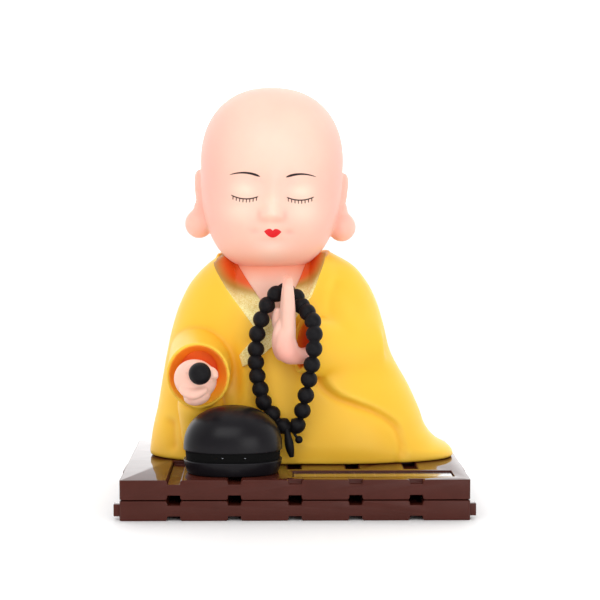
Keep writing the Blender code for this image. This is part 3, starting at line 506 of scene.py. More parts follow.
def drum_finish():
    made, tree, shader = new_material("abs_satin_black", "#1B191D", Roughness=0.3, Specular_IOR_Level=0.16)
    place = add_node(tree, "TexCoord").outputs["Object"]
    mould_grain(tree, shader, place, 0.35, 0.12)
    cloud = add_node(tree, "TexNoise", {"Vector": place, "Scale": 1 / (7 * MM), "Detail": 2.0}).outputs["Fac"]
    satin = add_node(tree, "MapRange", {0: cloud, 3: 0.26, 4: 0.34}).outputs[0]
    level = add_node(tree, "SeparateXYZ", {0: place}).outputs["Z"]
    # The band round the slit between dome and bowl is coloured near black and made rough: painted shade for the
    # shadow in the gap.
    slit_at = {0: level, 1: (DECK + SLIT_MIDDLE) * MM, 2: SLIT_HALF * MM}
    slit = add_node(tree, "Math", slit_at, operation="COMPARE").outputs[0]
    black = add_node(tree, "Mix", {0: cloud, 6: linear("#121013"), 7: linear("#19171B")}, data_type="RGBA")
    tint = add_node(tree, "Mix", {0: slit, 6: black.outputs[2], 7: linear("#040404")}, data_type="RGBA")
    tree.links.new(tint.outputs[2], shader.inputs["Base Color"])
    rough = add_node(tree, "Mix", {0: slit, 2: satin, 3: 0.9}).outputs[0]
    tree.links.new(rough, shader.inputs["Roughness"])
    return made


STEEL, steel_tree, steel_shader = new_material("steel_pin_turned", "#9A9CA2", Metallic=1.0, Roughness=0.25)
turning = add_node(steel_tree, "TexNoise", {"Scale": 1 / (0.3 * MM)}).outputs["Fac"]
steel_tree.links.new(
    add_node(steel_tree, "MapRange", {0: turning, 3: 0.18, 4: 0.34}).outputs[0], steel_shader.inputs["Roughness"]
)

fish_parts = [
    fish_form("bowl", 0.0, BOWL_TOP, 0.0, 0.4),
    fish_form("dome", DOME_FOOT, FISH_TOP, 0.25, 0.35, 160),
    fish_form("throat", 2.0, 8.0, 0.8, 0.1),
]
drum = joined("wooden_fish_drum", fish_parts)
drum.data.materials.append(drum_finish())
pin_middle = (PIN_PLACES[0], FISH_FOOT[1] - FISH_HALF[1] + 0.8, FISH_FOOT[2] + PIN_HEIGHT)
pin = ball("pin", pin_middle, (0.32, 0.3, 0.2), segments=16, rings=10)
pin_pair = joined("pins", [pin, copied(pin, (PIN_PLACES[1] - PIN_PLACES[0], 0, 0))])
pin_pair.data.materials.append(STEEL)
drum = joined("wooden_fish_drum", [drum, pin_pair])
finish_piece(drum, None, ["wooden_fish"])

# %% [markdown]
# ## The robe's cloth as a drawing
# The robe is soft PVC from one mould, so its folds are carved, not draped. Its body is a height field: for
# each angle and height a few measured reaches say how far the skin is from the figure's axis, and hills,
# creases and the sleeve's hem are added on the front. Figure sizes are counted from its foot on the deck.

# %% Robe form
FOOT = np.array([-6.5, 9.0, DECK])
ROBE_TOP = 64.0
ROBE_REACH = np.array(
    [  # height, reach to the left, right, front and back
        (0.0, 38.0, 56.2, 22.0, 25.5),
        (2.6, 37.8, 55.0, 22.1, 25.6),
        (5.0, 37.5, 51.0, 22.2, 25.6),
        (8.2, 37.0, 48.0, 21.9, 25.4),
        (15.3, 35.4, 45.0, 21.4, 25.0),
        (22.3, 34.2, 41.8, 20.9, 24.2),
        (31.3, 32.6, 36.8, 20.0, 22.8),
        (40.3, 30.6, 34.4, 18.6, 21.0),
        (48.3, 27.8, 32.0, 16.6, 19.0),
        (54.3, 24.4, 28.8, 14.4, 17.3),
        (59.3, 19.6, 24.2, 11.6, 15.4),
        (63.0, 14.5, 17.6, 8.6, 12.6),
    ]
)
SLEEVE_HEM = [
    (38.5, -1), (38.8, 5), (36.4, 11), (31.0, 15.3), (24.5, 18.3), (18.8, 20.8), (15.2, 24.4), (13.4, 29), (13, 34),
]
HEAD_MIDDLE = np.array([0.0, -3.0, 90.3])
HEAD_HALF, HEAD_FRONT, HEAD_BACK, HEAD_UP, HEAD_DOWN = 21.8, 21.5, 23.5, 22.9, 32.9
print("robe", ROBE_REACH[:, 1:3].max(0), "mm to the left and right,", ROBE_TOP, "mm high")


def robe_relief(x, z):
    """How far the drapery stands out of the plain front, or lies in it."""
    # The knee, the sleeve that hangs over it, the forearm and a fold above it
    out = 2.6 * hill(x, z, (27.0, 8.0), (12.0, 10.0))
    far, share = line_distance(x, z, SLEEVE_HEM)
    rise = 1.0 + 1.5 * smoothstep(0.15, 0.75, share)
    fade = 0.30 + 0.70 * np.exp(-np.maximum(far, 0) / 16.0)
    out = out + rise * smoothstep(-0.5, 0.7, far) * fade * smoothstep(52.0, 40.0, z)
    out = out - 0.6 * np.exp(-(((far + 0.9) / 1.1) ** 2)) * smoothstep(40.0, 32.0, z)
    out = out + 2.6 * hill(x, z, (19.0, 40.0), (10.0, 8.0)) + 1.0 * hill(x, z, (32.0, 30.0), (9.0, 2.2), -14)
    # Creases from the shoulder and the elbow, and one low at the viewer's left
    for points, depth, wide in (
        ([(21.5, 55.0), (18.4, 49.0), (15.8, 42.5)], 1.3, 1.5),
        ([(16.4, 41.0), (20.0, 37.5), (25.0, 32.0)], 0.9, 1.7),
        ([(-31.5, 13.0), (-31.2, 8.0), (-30.6, 2.0)], 1.0, 1.5),
    ):
        far, share = line_distance(x, z, points)
        out = out - depth * np.exp(-((far / wide) ** 2)) * np.clip(4 * share * (1 - share) * 1.6, 0, 1)
    # The hollows at the shoulder, beside the right cuff and behind the drum
    out = out - 0.8 * hill(x, z, (21.5, 56.0), (2.6, 8.0), 14)
    out = out - 1.9 * hill(x, z, (-11.4, 26.5), (2.2, 8.0), 3)
    out = out - 2.0 * hill(x, z, (-16.0, 8.0), (12.0, 9.0))
    return out


def robe_radius(angle, z):
    """How far the robe's skin is from the figure's axis."""
    left, right, front, back = (curve_through(ROBE_REACH[:, 0], ROBE_REACH[:, i], z) for i in range(1, 5))
    c, s = np.cos(angle), np.sin(angle)
    a, b = np.where(c > 0, right, left), np.where(s > 0, back, front)
    low = smoothstep(40.0, 0.0, z)
    power = np.where(s > 0, 2.25, np.where(c > 0, 2.15 + 0.75 * low, 2.15 - 0.35 * low))
    plain = (np.abs(c / a) ** power + np.abs(s / b) ** power) ** (-1 / power)
    return plain + smoothstep(-0.05, 0.35, -s) * robe_relief(plain * c, z)


def robe_front(x, z):
    """The y of the robe's front over the points (x, z), read from a table of its outline at many heights."""
    heights, angles = np.linspace(24.0, 66.0, 169), np.linspace(math.pi * 1.02, math.pi * 1.98, 181)
    turns, levels = np.meshgrid(angles, heights)
    reach = robe_radius(turns, levels)
    across, front = reach * np.cos(turns), reach * np.sin(turns)
    row = np.round(np.interp(z, heights, np.arange(len(heights)))).astype(int)
    return np.array([np.interp(x[i], across[row[i]], front[row[i]]) for i in range(len(x))])


def chest_front(x, z):
    """The y of the chest's front over the points (x, z)."""
    t = (z - 38.0) / 32.0
    wide, deep = 9.6 + 3.0 * t, 11.6 - 0.8 * t
    return -3.6 + 2.0 * t - deep * np.sqrt(np.clip(1 - (x / wide) ** 2, 0.02, 1))


def head_underside(x, y, grow):
    """The height of the head's underside, grown by a play, over the points (x, y)."""
    dx, dy = x - HEAD_MIDDLE[0], y - HEAD_MIDDLE[1]
    deep = np.where(dy > 0, HEAD_BACK, HEAD_FRONT) + grow
    share = np.hypot(dx / (HEAD_HALF + grow), dy / deep)
    return HEAD_MIDDLE[2] - (HEAD_DOWN + grow) * rounded(share, 2.9)


# %% [markdown]
# ## Collar lines
# Two gold bands lie round the opening: each is given by its inner edge, along the skin, and its outer edge,
# on the robe. The robe is carved away under them, so the bands can roll inwards down to the skin.

# %% Collar edges, as (x, z) in the front view
LEFT_INNER = [(-12.2, 62.2), (-10.6, 59.4), (-7.1, 54.2), (-3.4, 48.8), (-1.0, 44.6), (1.6, 40.0), (3.0, 37.6)]
LEFT_OUTER = [(-15.2, 62.3), (-17.9, 59.8), (-14.6, 53.8), (-10.6, 48.3), (-7.2, 43.6), (-4.0, 39.2), (-2.2, 36.6)]
RIGHT_INNER = [
    (11.9, 63.0), (10.8, 60.6), (9.2, 57.0), (7.3, 53.0), (4.4, 48.9),
    (1.0, 44.8), (-3.6, 39.6), (-7.4, 35.7), (-9.96, 32.7),
]
RIGHT_OUTER = [
    (16.6, 63.0), (15.8, 60.4), (13.9, 56.2), (11.9, 51.6), (9.0, 46.6),
    (5.0, 41.5), (0.5, 36.0), (-4.2, 32.0), (-8.9, 29.3),
]
print("collar open", RIGHT_INNER[0][0] - LEFT_INNER[0][0], "mm at the top")


def inside_collar(x, z):
    """How far (x, z) is inside the outer edges of the opening, below 0 outside."""
    left, _ = line_distance(x, z, LEFT_OUTER[:5] + [(-1.0, 35.0)])
    right, _ = line_distance(x, z, RIGHT_OUTER[:6] + [(3.2, 39.0)])
    return np.minimum(-left, right) * np.where(z > 38.0, 1, 0) + np.where(z > 38.0, 0, -5)


def carve_collar(points):
    """Pushes the robe's front back under the bands and the skin, and seats the head."""
    x, y, z = points.T
    front = (y < 0) & (z > 34) & (z < 66)
    inside = inside_collar(x[front], z[front])
    sunk = np.maximum(y[front], chest_front(x[front], z[front]) + 1.6)
    share = smoothstep(-0.4, 2.2, inside - 0.7)
    y = y.copy()
    y[front] = y[front] * (1 - share) + sunk * share
    y[front] += 1.0 * smoothstep(0.3, 1.2, inside)
    z = np.minimum(z, np.where(z > 50, head_underside(x, y, 1.0), z))
    return np.stack([x, y, z], 1)


# %% [markdown]
# ## Robe body and sleeves
# The body is a ball drawn out to the height field. The sleeves are cones from elbow to cuff with a ring
# as the rolled lip. The cuffs are cut open first, and then a voxel remesh runs all of them together into
# one skin, as in the real moulding, where a plain joining would leave hard seams.

# %% Robe
RIGHT_CUFF, RIGHT_ELBOW = np.array([-21.9, -26.5, 27.4]), np.array([-21.6, -5.0, 31.0])
LEFT_CUFF, LEFT_ELBOW = np.array([9.1, -24.4, 36.4]), np.array([30.0, -7.0, 31.5])


def between(a, b, share):
    return a + (b - a) * share


def robe_body():
    """A ball drawn out to the height field, with its collar carved."""
    made = unit_ball("robe_body", 360, 190)
    points = points_of(made)
    lift = (np.arcsin(np.clip(points[:, 2], -1, 1)) / (math.pi / 2) + 1) / 2
    turn = np.arctan2(points[:, 1], points[:, 0])
    under, over = 0.08, 0.90
    t = np.clip((lift - under) / (over - under), 0, 1)
    z = ROBE_TOP * np.sin(t * math.pi / 2) ** 0.92
    reach = robe_radius(turn, z)
    reach = reach * np.clip(lift / under, 0, 1) * np.clip((1 - lift) / (1 - over), 0, 1)
    move_points(made, carve_collar(np.stack([reach * np.cos(turn), reach * np.sin(turn), z + 0.1], 1)) + FOOT)
    return made


def lip_ring(name, cuff, elbow, half_sizes, thick):
    """The rolled lip round a cuff: a ring drawn out to the cuff's oval, thinner below."""
    bpy.ops.object.select_all(action="DESELECT")
    bpy.ops.mesh.primitive_torus_add(
        major_segments=96, minor_segments=20, major_radius=2 * MM, minor_radius=MM
    )
    made = named(name)
    points = points_of(made)
    turn = np.arctan2(points[:, 1], points[:, 0])
    off = np.hypot(points[:, 0], points[:, 1]) - 2
    thick = thick * (1 - 0.6 * smoothstep(0.1, -0.8, np.sin(turn)))
    ahead = unit(cuff - elbow)
    side = unit(np.cross(ahead, [0, 0, 1.0]))
    up = np.cross(side, ahead)
    wide = (half_sizes[0] - thick + off * thick) * np.cos(turn)
    high = (half_sizes[1] - thick + off * thick) * np.sin(turn)
    placed = cuff + np.outer(wide, side) + np.outer(high, up) + np.outer(points[:, 2] * thick, ahead)
    move_points(made, placed + FOOT)
    return made


def sleeve(name, elbow, cuff, elbow_size, cuff_size):
    return cone(name, elbow + FOOT, cuff + FOOT, elbow_size, cuff_size)


def cuff_mouth(elbow, cuff, depth, deep_size, open_size):
    """The hollow of a sleeve: a funnel from its lip inwards."""
    return cone("mouth", between(cuff, elbow, depth) + FOOT, between(cuff, elbow, -0.12) + FOOT, deep_size, open_size)


body = robe_body()
right_sleeve = sleeve("right_sleeve", RIGHT_ELBOW, RIGHT_CUFF, (9.8, 11.0), (9.4, 10.1))
left_sleeve = sleeve("left_sleeve", LEFT_ELBOW, LEFT_CUFF, (7.2, 10.2), (4.4, 8.4))
drop_line = np.array([(-21.6, -18.6, 21.0), (-21.4, -15.6, 13.0), (-21.0, -13.0, 3.0)]) + FOOT
drop = drawn_out("right_drop", drop_line, [7.4, 6.6, 6.0], (0, 1, 0))
for piece in (body, right_sleeve, drop):
    cut_out(piece, cuff_mouth(RIGHT_ELBOW, RIGHT_CUFF, 0.5, (6.6, 7.4), (8.9, 9.6)))
for piece in (body, left_sleeve):
    cut_out(piece, cuff_mouth(LEFT_ELBOW, LEFT_CUFF, 0.42, (3.0, 5.8), (3.5, 7.3)))
nape = [(-16.6, -1.5), (-15.2, 5.5), (-9.5, 11.6), (0.5, 13.9), (10.5, 12.0), (17.0, 6.0), (18.4, -1.0)]
nape_line = np.array([(x, y, 61.8) for x, y in nape]) + FOOT
lips = [
    drawn_out("nape", nape_line, [0.9, 1.1, 1.1, 0.9], (0, 0, 1), rings=96),
    lip_ring("right_lip", RIGHT_CUFF, RIGHT_ELBOW, (9.5, 10.2), 0.55),
    lip_ring("left_lip", LEFT_CUFF, LEFT_ELBOW, (4.6, 8.5), 0.6),
]
robe = joined("robe_cloth", [body, right_sleeve, left_sleeve, drop, *lips])
run_together(robe, 0.5, 5)


def without_crumbs(piece, name):
    """Clears away the crumbs that a remesh leaves beside the main skin."""
    pick(piece)
    bpy.ops.object.mode_set(mode="EDIT")
    bpy.ops.mesh.select_all(action="SELECT")
    bpy.ops.mesh.separate(type="LOOSE")
    leave_edit_mode()
    *crumbs, main_skin = sorted(bpy.context.selected_objects, key=lambda made: len(made.data.vertices))
    for crumb in crumbs:
        bpy.data.objects.remove(crumb)
    main_skin.name = main_skin.data.name = name
    return main_skin


robe = without_crumbs(robe, "robe_cloth")


def soften(piece, weights, rounds):
    """Smooths a piece more where the weights are high."""
    group = piece.vertex_groups.new(name="soft")
    for level in np.unique(weights[weights > 0]):
        group.add(np.flatnonzero(weights == level).tolist(), float(level), "REPLACE")
    apply_modifier(piece, "SMOOTH", factor=0.5, iterations=rounds, vertex_group="soft")


x, y, z = (points_of(robe) - FOOT).T
arm = smoothstep(15.0, 19.5, x) * smoothstep(22.0, 29.0, z) * smoothstep(58.0, 50.0, z) * (y < 0)
soften(robe, np.round(arm, 1), 90)
print("robe points", len(robe.data.vertices))

# %% [markdown]
# ## Robe finish
# The robe's folds are coloured a deeper orange as painted shade, and its ridges a paler yellow as painted
# highlight. How deep a point lies is measured once from the mesh: each point is compared with a strongly
# smoothed copy of the robe, and the difference is kept on the mesh as an attribute that the material reads.

# %% Measure the folds and make the yellow plastic
def measure_folds(piece, reach):
    """Keeps on each point how far it lies below the smoothed surface, in millimetres."""
    normals = np.empty(len(piece.data.vertices) * 3)
    piece.data.vertices.foreach_get("normal", normals)
    before = points_of(piece)
    pick(piece)
    bpy.ops.object.duplicate()
    smooth = bpy.context.object
    apply_modifier(smooth, "SMOOTH", factor=0.5, iterations=reach)
    depth = ((points_of(smooth) - before) * normals.reshape(-1, 3)).sum(1)
    bpy.data.objects.remove(smooth)
    fold = piece.data.attributes.new("fold_depth", "FLOAT", "POINT")
    fold.data.foreach_set("value", depth)
    print("fold depth from", depth.min().round(2), "to", depth.max().round(2))


measure_folds(robe, 60)


def robe_plastic():
    made, tree, shader = new_material(
        "pvc_satin_yellow", "#F7B62A", Roughness=0.42, Specular_IOR_Level=0.3,
        Subsurface_Weight=0.08, Subsurface_Scale=1.6 * MM,
    )
    shader.inputs["Subsurface Radius"].default_value = (1.0, 0.5, 0.12)
    place = add_node(tree, "TexCoord").outputs["Object"]
    # Painted shade and highlight: deep folds turn deeper orange, raised ridges paler yellow.
    depth = add_node(tree, "Attribute", attribute_name="fold_depth").outputs["Fac"]
    fold_shade_ramp = add_node(tree, "ValToRGB", {0: add_node(tree, "MapRange", {0: depth, 1: -0.35, 2: 0.55}).outputs[0]})
    colours = fold_shade_ramp.color_ramp
    colours.elements[0].position, colours.elements[0].color = 0.0, linear("#FFD048")
    colours.elements[1].position, colours.elements[1].color = 1.0, linear("#EC9C1C")
    middle = colours.elements.new(0.42)
    middle.color = linear("#FDC536")
    cloud = add_node(tree, "TexNoise", {"Vector": place, "Scale": 1 / (16 * MM), "Detail": 2.0}).outputs["Fac"]
    warm = add_node(tree, "MapRange", {0: cloud, 1: 0.35, 2: 0.7, 3: 0.0, 4: 0.35}).outputs[0]
    tint = add_node(tree, "Mix", {0: warm, 6: fold_shade_ramp.outputs[0], 7: linear("#FDBE30")}, data_type="RGBA")
    tree.links.new(tint.outputs[2], shader.inputs["Base Color"])
    mould_grain(tree, shader, place, 0.4, 0.1)
    return made


finish_piece(robe, robe_plastic(), ["robe"], 60)

# %% [markdown]
# ## Cuff linings
# Inside the sleeves the plastic is painted orange. Its lower part is coloured a paler yellow as painted light,
# and deeper in it turns red as painted shade. Each lining is a thin funnel just inside the cuff: a cylinder
# without its front face, whose wall gets its thickness from Solidify.

# %% Linings
def lining_finish():
    made, tree, shader = new_material("painted_lining_orange", "#F07A10", Roughness=0.5)
    place = add_node(tree, "TexCoord").outputs["Object"]
    parts = add_node(tree, "SeparateXYZ", {0: place}).outputs
    # The low part of the lining is coloured a paler yellow as painted light, and the part deeper in red-orange as
    # painted shade.
    high = add_node(tree, "MapRange", {0: parts["Z"], 1: 31 * MM, 2: 38 * MM}).outputs[0]
    deep = add_node(tree, "MapRange", {0: parts["Y"], 1: -13.4 * MM, 2: -11.6 * MM}).outputs[0]
    edge = add_node(tree, "Mix", {0: high, 6: linear("#FBB92E"), 7: linear("#FF961A")}, data_type="RGBA")
    tint = add_node(tree, "Mix", {0: deep, 6: edge.outputs[2], 7: linear("#F0581C")}, data_type="RGBA")
    tree.links.new(tint.outputs[2], shader.inputs["Base Color"])
    mould_grain(tree, shader, place, 0.4, 0.1)
    return made


def lining(name, elbow, cuff, depth, deep_size, open_size):
    """A funnel with an open front, from just inside the lip to a share of the sleeve's length."""
    made = cone(name, between(cuff, elbow, depth) + FOOT, between(cuff, elbow, 0.02) + FOOT, deep_size, open_size)
    ahead = Vector(unit(cuff - elbow))
    select_in_edit_mode(made, "FACE", lambda face: face.normal.dot(ahead) > 0.9)
    bpy.ops.mesh.delete(type="FACE")
    leave_edit_mode()
    apply_modifier(made, "SOLIDIFY", thickness=0.9 * MM, offset=-1.0)
    apply_modifier(made, "BEVEL", width=0.1 * MM, segments=2)
    return made


LINING = lining_finish()
linings = [
    lining("right_lining", RIGHT_ELBOW, RIGHT_CUFF, 0.32, (5.8, 6.4), (9.1, 9.8)),
    lining("left_lining", LEFT_ELBOW, LEFT_CUFF, 0.36, (2.8, 5.6), (3.7, 7.5)),
]
for piece in linings:
    finish_piece(piece, LINING, ["robe"])

# %% [markdown]
# ## Gold collar bands
# The bands are printed gold on the real robe, with a fine metallic grain. Each is a grid whose rows follow
# the two drawn edges, laid on the robe and rolled down to the skin at its inner edge. Solidify gives the
# band a body, and a small bevel catches the light along its edges.

# %% Bands
def collar_band(name, inner, outer, proud, skin_from, columns=72, rows=10):
    """A band between two edge lines; above skin_from its inner edge rolls down to the chest."""
    bpy.ops.object.select_all(action="DESELECT")
    bpy.ops.mesh.primitive_grid_add(x_subdivisions=columns, y_subdivisions=rows, size=2 * MM)
    made = named(name)
    points = points_of(made)
    along, across = np.clip((points[:, :2].T + 1) / 2, 0, 1)
    inner_at, outer_at = line_at(inner, along), line_at(outer, along)
    flat = inner_at * (1 - across[:, None]) + outer_at * across[:, None]
    x, z = flat.T
    on_robe = robe_front(x, z) - proud
    on_skin = chest_front(x, z) - 0.25
    rolled = smoothstep(skin_from - 3.0, skin_from + 4.0, z) * (1 - across) ** 1.3
    y = on_robe * (1 - rolled) + np.maximum(on_skin, on_robe) * rolled
    move_points(made, np.stack([x, y, z], 1) + FOOT)
    pick(made)
    bpy.ops.object.mode_set(mode="EDIT")
    bpy.ops.mesh.select_all(action="SELECT")
    bpy.ops.mesh.normals_make_consistent(inside=False)
    leave_edit_mode()
    if made.data.polygons[len(made.data.polygons) // 2].normal.y > 0:
        made.data.flip_normals()
    # This attribute marks where the band's inner top is painted brown and red-orange: painted shade under the head
    # and a painted reflection of the skin.
    painted_shade_tinge = made.data.attributes.new("glow_and_painted_shade", "FLOAT", "POINT")
    painted_shade_tinge.data.foreach_set("value", (1 - 0.65 * across) * smoothstep(skin_from + 1, skin_from + 11, z))
    apply_modifier(made, "SOLIDIFY", thickness=0.9 * MM, offset=-1.0)
    apply_modifier(made, "BEVEL", width=0.12 * MM, segments=2, limit_method="ANGLE", angle_limit=math.radians(50))
    return made


def gold_trim():
    made, tree, shader = new_material("printed_gold_trim", "#E3C667", Metallic=0.12, Roughness=0.42)
    place = add_node(tree, "TexCoord").outputs["Object"]
    flake = add_node(tree, "TexVoronoi", {"Vector": place, "Scale": 1 / (0.32 * MM)}).outputs["Color"]
    spark = add_node(tree, "SeparateColor", {0: flake}).outputs[0]
    glow_and_painted_shade = add_node(tree, "Attribute", attribute_name="glow_and_painted_shade").outputs["Fac"]
    gold = add_node(tree, "Mix", {0: spark, 6: linear("#EBD57C"), 7: linear("#FFF5B8")}, data_type="RGBA")
    # Toward the skin the gold is coloured olive-brown and then deep red-orange: painted shade under the head and a
    # painted reflection of the skin.
    brown = add_node(tree, "MapRange", {0: glow_and_painted_shade, 1: 0.02, 2: 0.4}, interpolation_type="SMOOTHSTEP").outputs[0]
    red = add_node(tree, "MapRange", {0: glow_and_painted_shade, 1: 0.3, 2: 0.75}, interpolation_type="SMOOTHSTEP").outputs[0]
    dull = add_node(tree, "Mix", {0: brown, 6: gold.outputs[2], 7: linear("#B48C3C")}, data_type="RGBA")
    tint = add_node(tree, "Mix", {0: red, 6: dull.outputs[2], 7: linear("#DE520A")}, data_type="RGBA")
    tree.links.new(tint.outputs[2], shader.inputs["Base Color"])
    rough = add_node(tree, "MapRange", {0: spark, 3: 0.32, 4: 0.52}).outputs[0]
    tree.links.new(rough, shader.inputs["Roughness"])
    bump = add_node(tree, "Bump", {"Height": spark, "Strength": 0.25, "Distance": 0.03 * MM}).outputs[0]
    tree.links.new(bump, shader.inputs["Normal"])
    return made


GOLD = gold_trim()
bands = [
    collar_band("collar_band_under", LEFT_INNER, LEFT_OUTER, 0.25, 46.0),
    collar_band("collar_band_over", RIGHT_INNER, RIGHT_OUTER, 0.75, 48.0),
]
for piece in bands:
    finish_piece(piece, GOLD, ["robe"], 45)

# %% [markdown]
# ## Skin
# The skin is soft PVC in a peach colour. Light goes a little way into it and comes out redder, which
# subsurface scattering does. Soft pink spots are mixed in as painted shade on the sides, in the hollows and
# under the nose and chin, and paler spots as painted highlights on the lids, cheeks, nose, chin and forehead.
# Brows, lash lines and lips are thin paint: the paint masks are worked out from the place on the face, so
# they need no picture, and a Mapping node first turns a point to millimetres about the face.

# %% Skin finish
FACE_TILT = math.radians(1.4)
FACE_SHIFT = 0.4


def skin_base(name):
    made, tree, shader = new_material(
        name, "#F9C9B6", Roughness=0.44, Specular_IOR_Level=0.35,
        Subsurface_Weight=0.18, Subsurface_Scale=2.2 * MM,
    )
    shader.inputs["Subsurface Radius"].default_value = (1.0, 0.38, 0.26)
    place = add_node(tree, "TexCoord").outputs["Object"]
    mould_grain(tree, shader, place, 0.45, 0.07)
    cloud = add_node(tree, "TexNoise", {"Vector": place, "Scale": 1 / (9 * MM), "Detail": 2.0}).outputs["Fac"]
    tint = add_node(tree, "Mix", {0: cloud, 6: linear("#F6BDAC"), 7: linear("#F9CCB8")}, data_type="RGBA")
    tree.links.new(tint.outputs[2], shader.inputs["Base Color"])
    return made, tree, shader, place, tint.outputs[2]


class Field:
    """A number worked out at each point of a surface: every sum with it adds one Math node."""

    def __init__(self, tree, value):
        self.tree, self.value = tree, value

    def by(self, operation, other=0.0):
        inputs = {0: self.value, 1: other.value if isinstance(other, Field) else other}
        return Field(self.tree, add_node(self.tree, "Math", inputs, operation=operation).outputs[0])

    def clipped(self):
        return Field(self.tree, add_node(self.tree, "Clamp", {0: self.value}).outputs[0])

    def __add__(self, other):
        return self.by("ADD", other)

    def __sub__(self, other):
        return self.by("SUBTRACT", other)

    def __rsub__(self, other):
        return Field(self.tree, other) - self

    def __mul__(self, other):
        return self.by("MULTIPLY", other)

    def __truediv__(self, other):
        return self.by("DIVIDE", other)

    def __abs__(self):
        return self.by("ABSOLUTE")


# Pink spots are painted shade in the hollows, at the sides and under nose and chin; pale spots are painted
# highlights.
FACE_SHADE_AND_HIGHLIGHT = [  # distance from the face's middle, height, half width, half height, strength, colour
    (5.2, -6.4, 3.4, 3.6, 0.40, "#FFAFA2"),
    (5.2, -20.6, 1.3, 0.8, 0.30, "#FF9F92"),
    (0.0, -17.2, 3.2, 0.8, 0.55, "#FF9F8C"),
    (3.9, -15.4, 0.8, 1.5, 0.50, "#FFA393"),
    (0.0, -24.0, 3.2, 1.2, 0.25, "#FFA898"),
    (20.0, -2.0, 6.5, 30.0, 0.70, "#FFAEA0"),
    (0.0, -33.5, 17.0, 5.0, 0.85, "#FF9678"),
    (8.5, -8.2, 3.6, 2.2, 0.60, "#FFE6D0"),
    (9.5, -14.6, 4.6, 4.0, 0.45, "#FFE3CE"),
    (0.0, -14.0, 2.0, 4.6, 0.60, "#FFE6D0"),
    (0.0, -26.5, 4.5, 3.0, 0.45, "#FFE0CC"),
    (1.0, 7.0, 14.0, 14.0, 0.50, "#FFE0CC"),
]


def face_paint(tree, place, skin):
    """Mixes painted shade and highlights, brows, lashes and lips over the skin colour; gives the colour and the lips'
    mask.
    """
    shift = Matrix.Rotation(-FACE_TILT, 3, "Y") @ Vector((FOOT + HEAD_MIDDLE) * MM) / -MM
    settings = {"Vector": place, "Location": shift, "Rotation": (0, -FACE_TILT, 0), "Scale": (1 / MM,) * 3}
    face = add_node(tree, "Mapping", settings).outputs[0]
    parts = add_node(tree, "SeparateXYZ", {0: face}).outputs
    x, y, z = (Field(tree, parts[axis]) for axis in "XYZ")
    a = abs(x - FACE_SHIFT)
    front, towards_front = y.by("LESS_THAN", 0.0), ((8.0 - y) / 16.0).clipped()
    colour = skin
    for off, height, wide, tall, strength, hex_colour in FACE_SHADE_AND_HIGHLIGHT:
        dx, dz = (a - off) / wide, (z - height) / tall
        spot = ((dx * dx + dz * dz) * -1.0).by("EXPONENT") * strength * towards_front
        mix = {0: spot.value, 6: colour, 7: linear(hex_colour)}
        colour = add_node(tree, "Mix", mix, data_type="RGBA").outputs[2]
    # Brow: an arc that is thick at its inner end and fades to a point outside
    t = (a - 8.68) / 4.5
    off = abs(z - (t * t * -0.86 - 3.25))
    thick = t * -0.15 + 0.27 - (t * t).by("POWER", 4.0) * 0.2
    brow = ((thick - off) / 0.09 + 0.5) * front
    # Lash line: a shallow bow, and eight short strokes that hang from it
    t = (a - 8.25) / 4.15
    off = z - (t * t * 0.95 - 10.95 + t * 0.12)
    ends = ((1.0 - t * t) * 4.0).clipped()
    lash = ((0.19 - abs(off)) / 0.12 + 0.5) * ends * front
    from_stroke = abs((a - 4.15 + off * 0.06).by("FRACT") - 0.5)
    stroke = ((0.15 - from_stroke) / 0.12 + 0.5).clipped() * (t * t).by("LESS_THAN", 0.93) * front
    stroke = stroke * ((off + 1.2) / 0.3).clipped() * (off * -8.0).clipped()
    # Lips: between a heart's two bumps above and a bow below
    across, up = abs(x - 0.72), z + 20.47
    bump, dip = (across - 0.95) / 1.62, (0.95 - across).by("MAXIMUM", 0.0)
    top = bump * bump * -0.87 + 0.87 - dip * dip * 0.30
    bottom = (1.0 - (across / 2.6).by("POWER", 1.9)) * -1.82
    lips = ((top - up).by("MINIMUM", up - bottom) / 0.12 + 0.5) * front
    for mark, hex_colour in ((brow, "#170606"), (lash, "#2A0E0C"), (stroke, "#3C1A15"), (lips, "#E21A24")):
        paint = mark.clipped().value
        colour = add_node(tree, "Mix", {0: paint, 6: colour, 7: linear(hex_colour)}, data_type="RGBA").outputs[2]
    return colour, paint


SKIN, skin_tree, skin_shader, skin_place, peach = skin_base("pvc_satin_peach")
skin_at = add_node(skin_tree, "SeparateXYZ", {0: skin_place}).outputs
# The top of the neck, under the chin, is coloured a deeper orange-pink as painted shade.
neck = {0: skin_at["Z"], 1: (DECK + 54) * MM, 2: (DECK + 60) * MM, 4: 0.85}
under_chin_shade = add_node(skin_tree, "MapRange", neck).outputs[0]
warm = add_node(skin_tree, "Mix", {0: under_chin_shade, 6: peach, 7: linear("#F27A4C")}, data_type="RGBA").outputs[2]
wrist = {0: skin_at["Z"], 1: (DECK + 41) * MM, 2: (DECK + 34) * MM, 4: 0.5}
low_on_hand = add_node(skin_tree, "MapRange", wrist).outputs[0]
on_left = add_node(skin_tree, "MapRange", {0: skin_at["X"], 1: -9 * MM, 2: -5 * MM}).outputs[0]
heel_mask = add_node(skin_tree, "Math", {0: low_on_hand, 1: on_left}, operation="MULTIPLY").outputs[0]
pink = add_node(skin_tree, "Mix", {0: heel_mask, 6: warm, 7: linear("#EE9486")}, data_type="RGBA").outputs[2]
skin_tree.links.new(pink, skin_shader.inputs["Base Color"])
FACE, face_tree, face_shader, face_place, plain_skin = skin_base("pvc_satin_peach_painted_face")
face_colour, lips_mask = face_paint(face_tree, face_place, plain_skin)
face_tree.links.new(face_colour, face_shader.inputs["Base Color"])
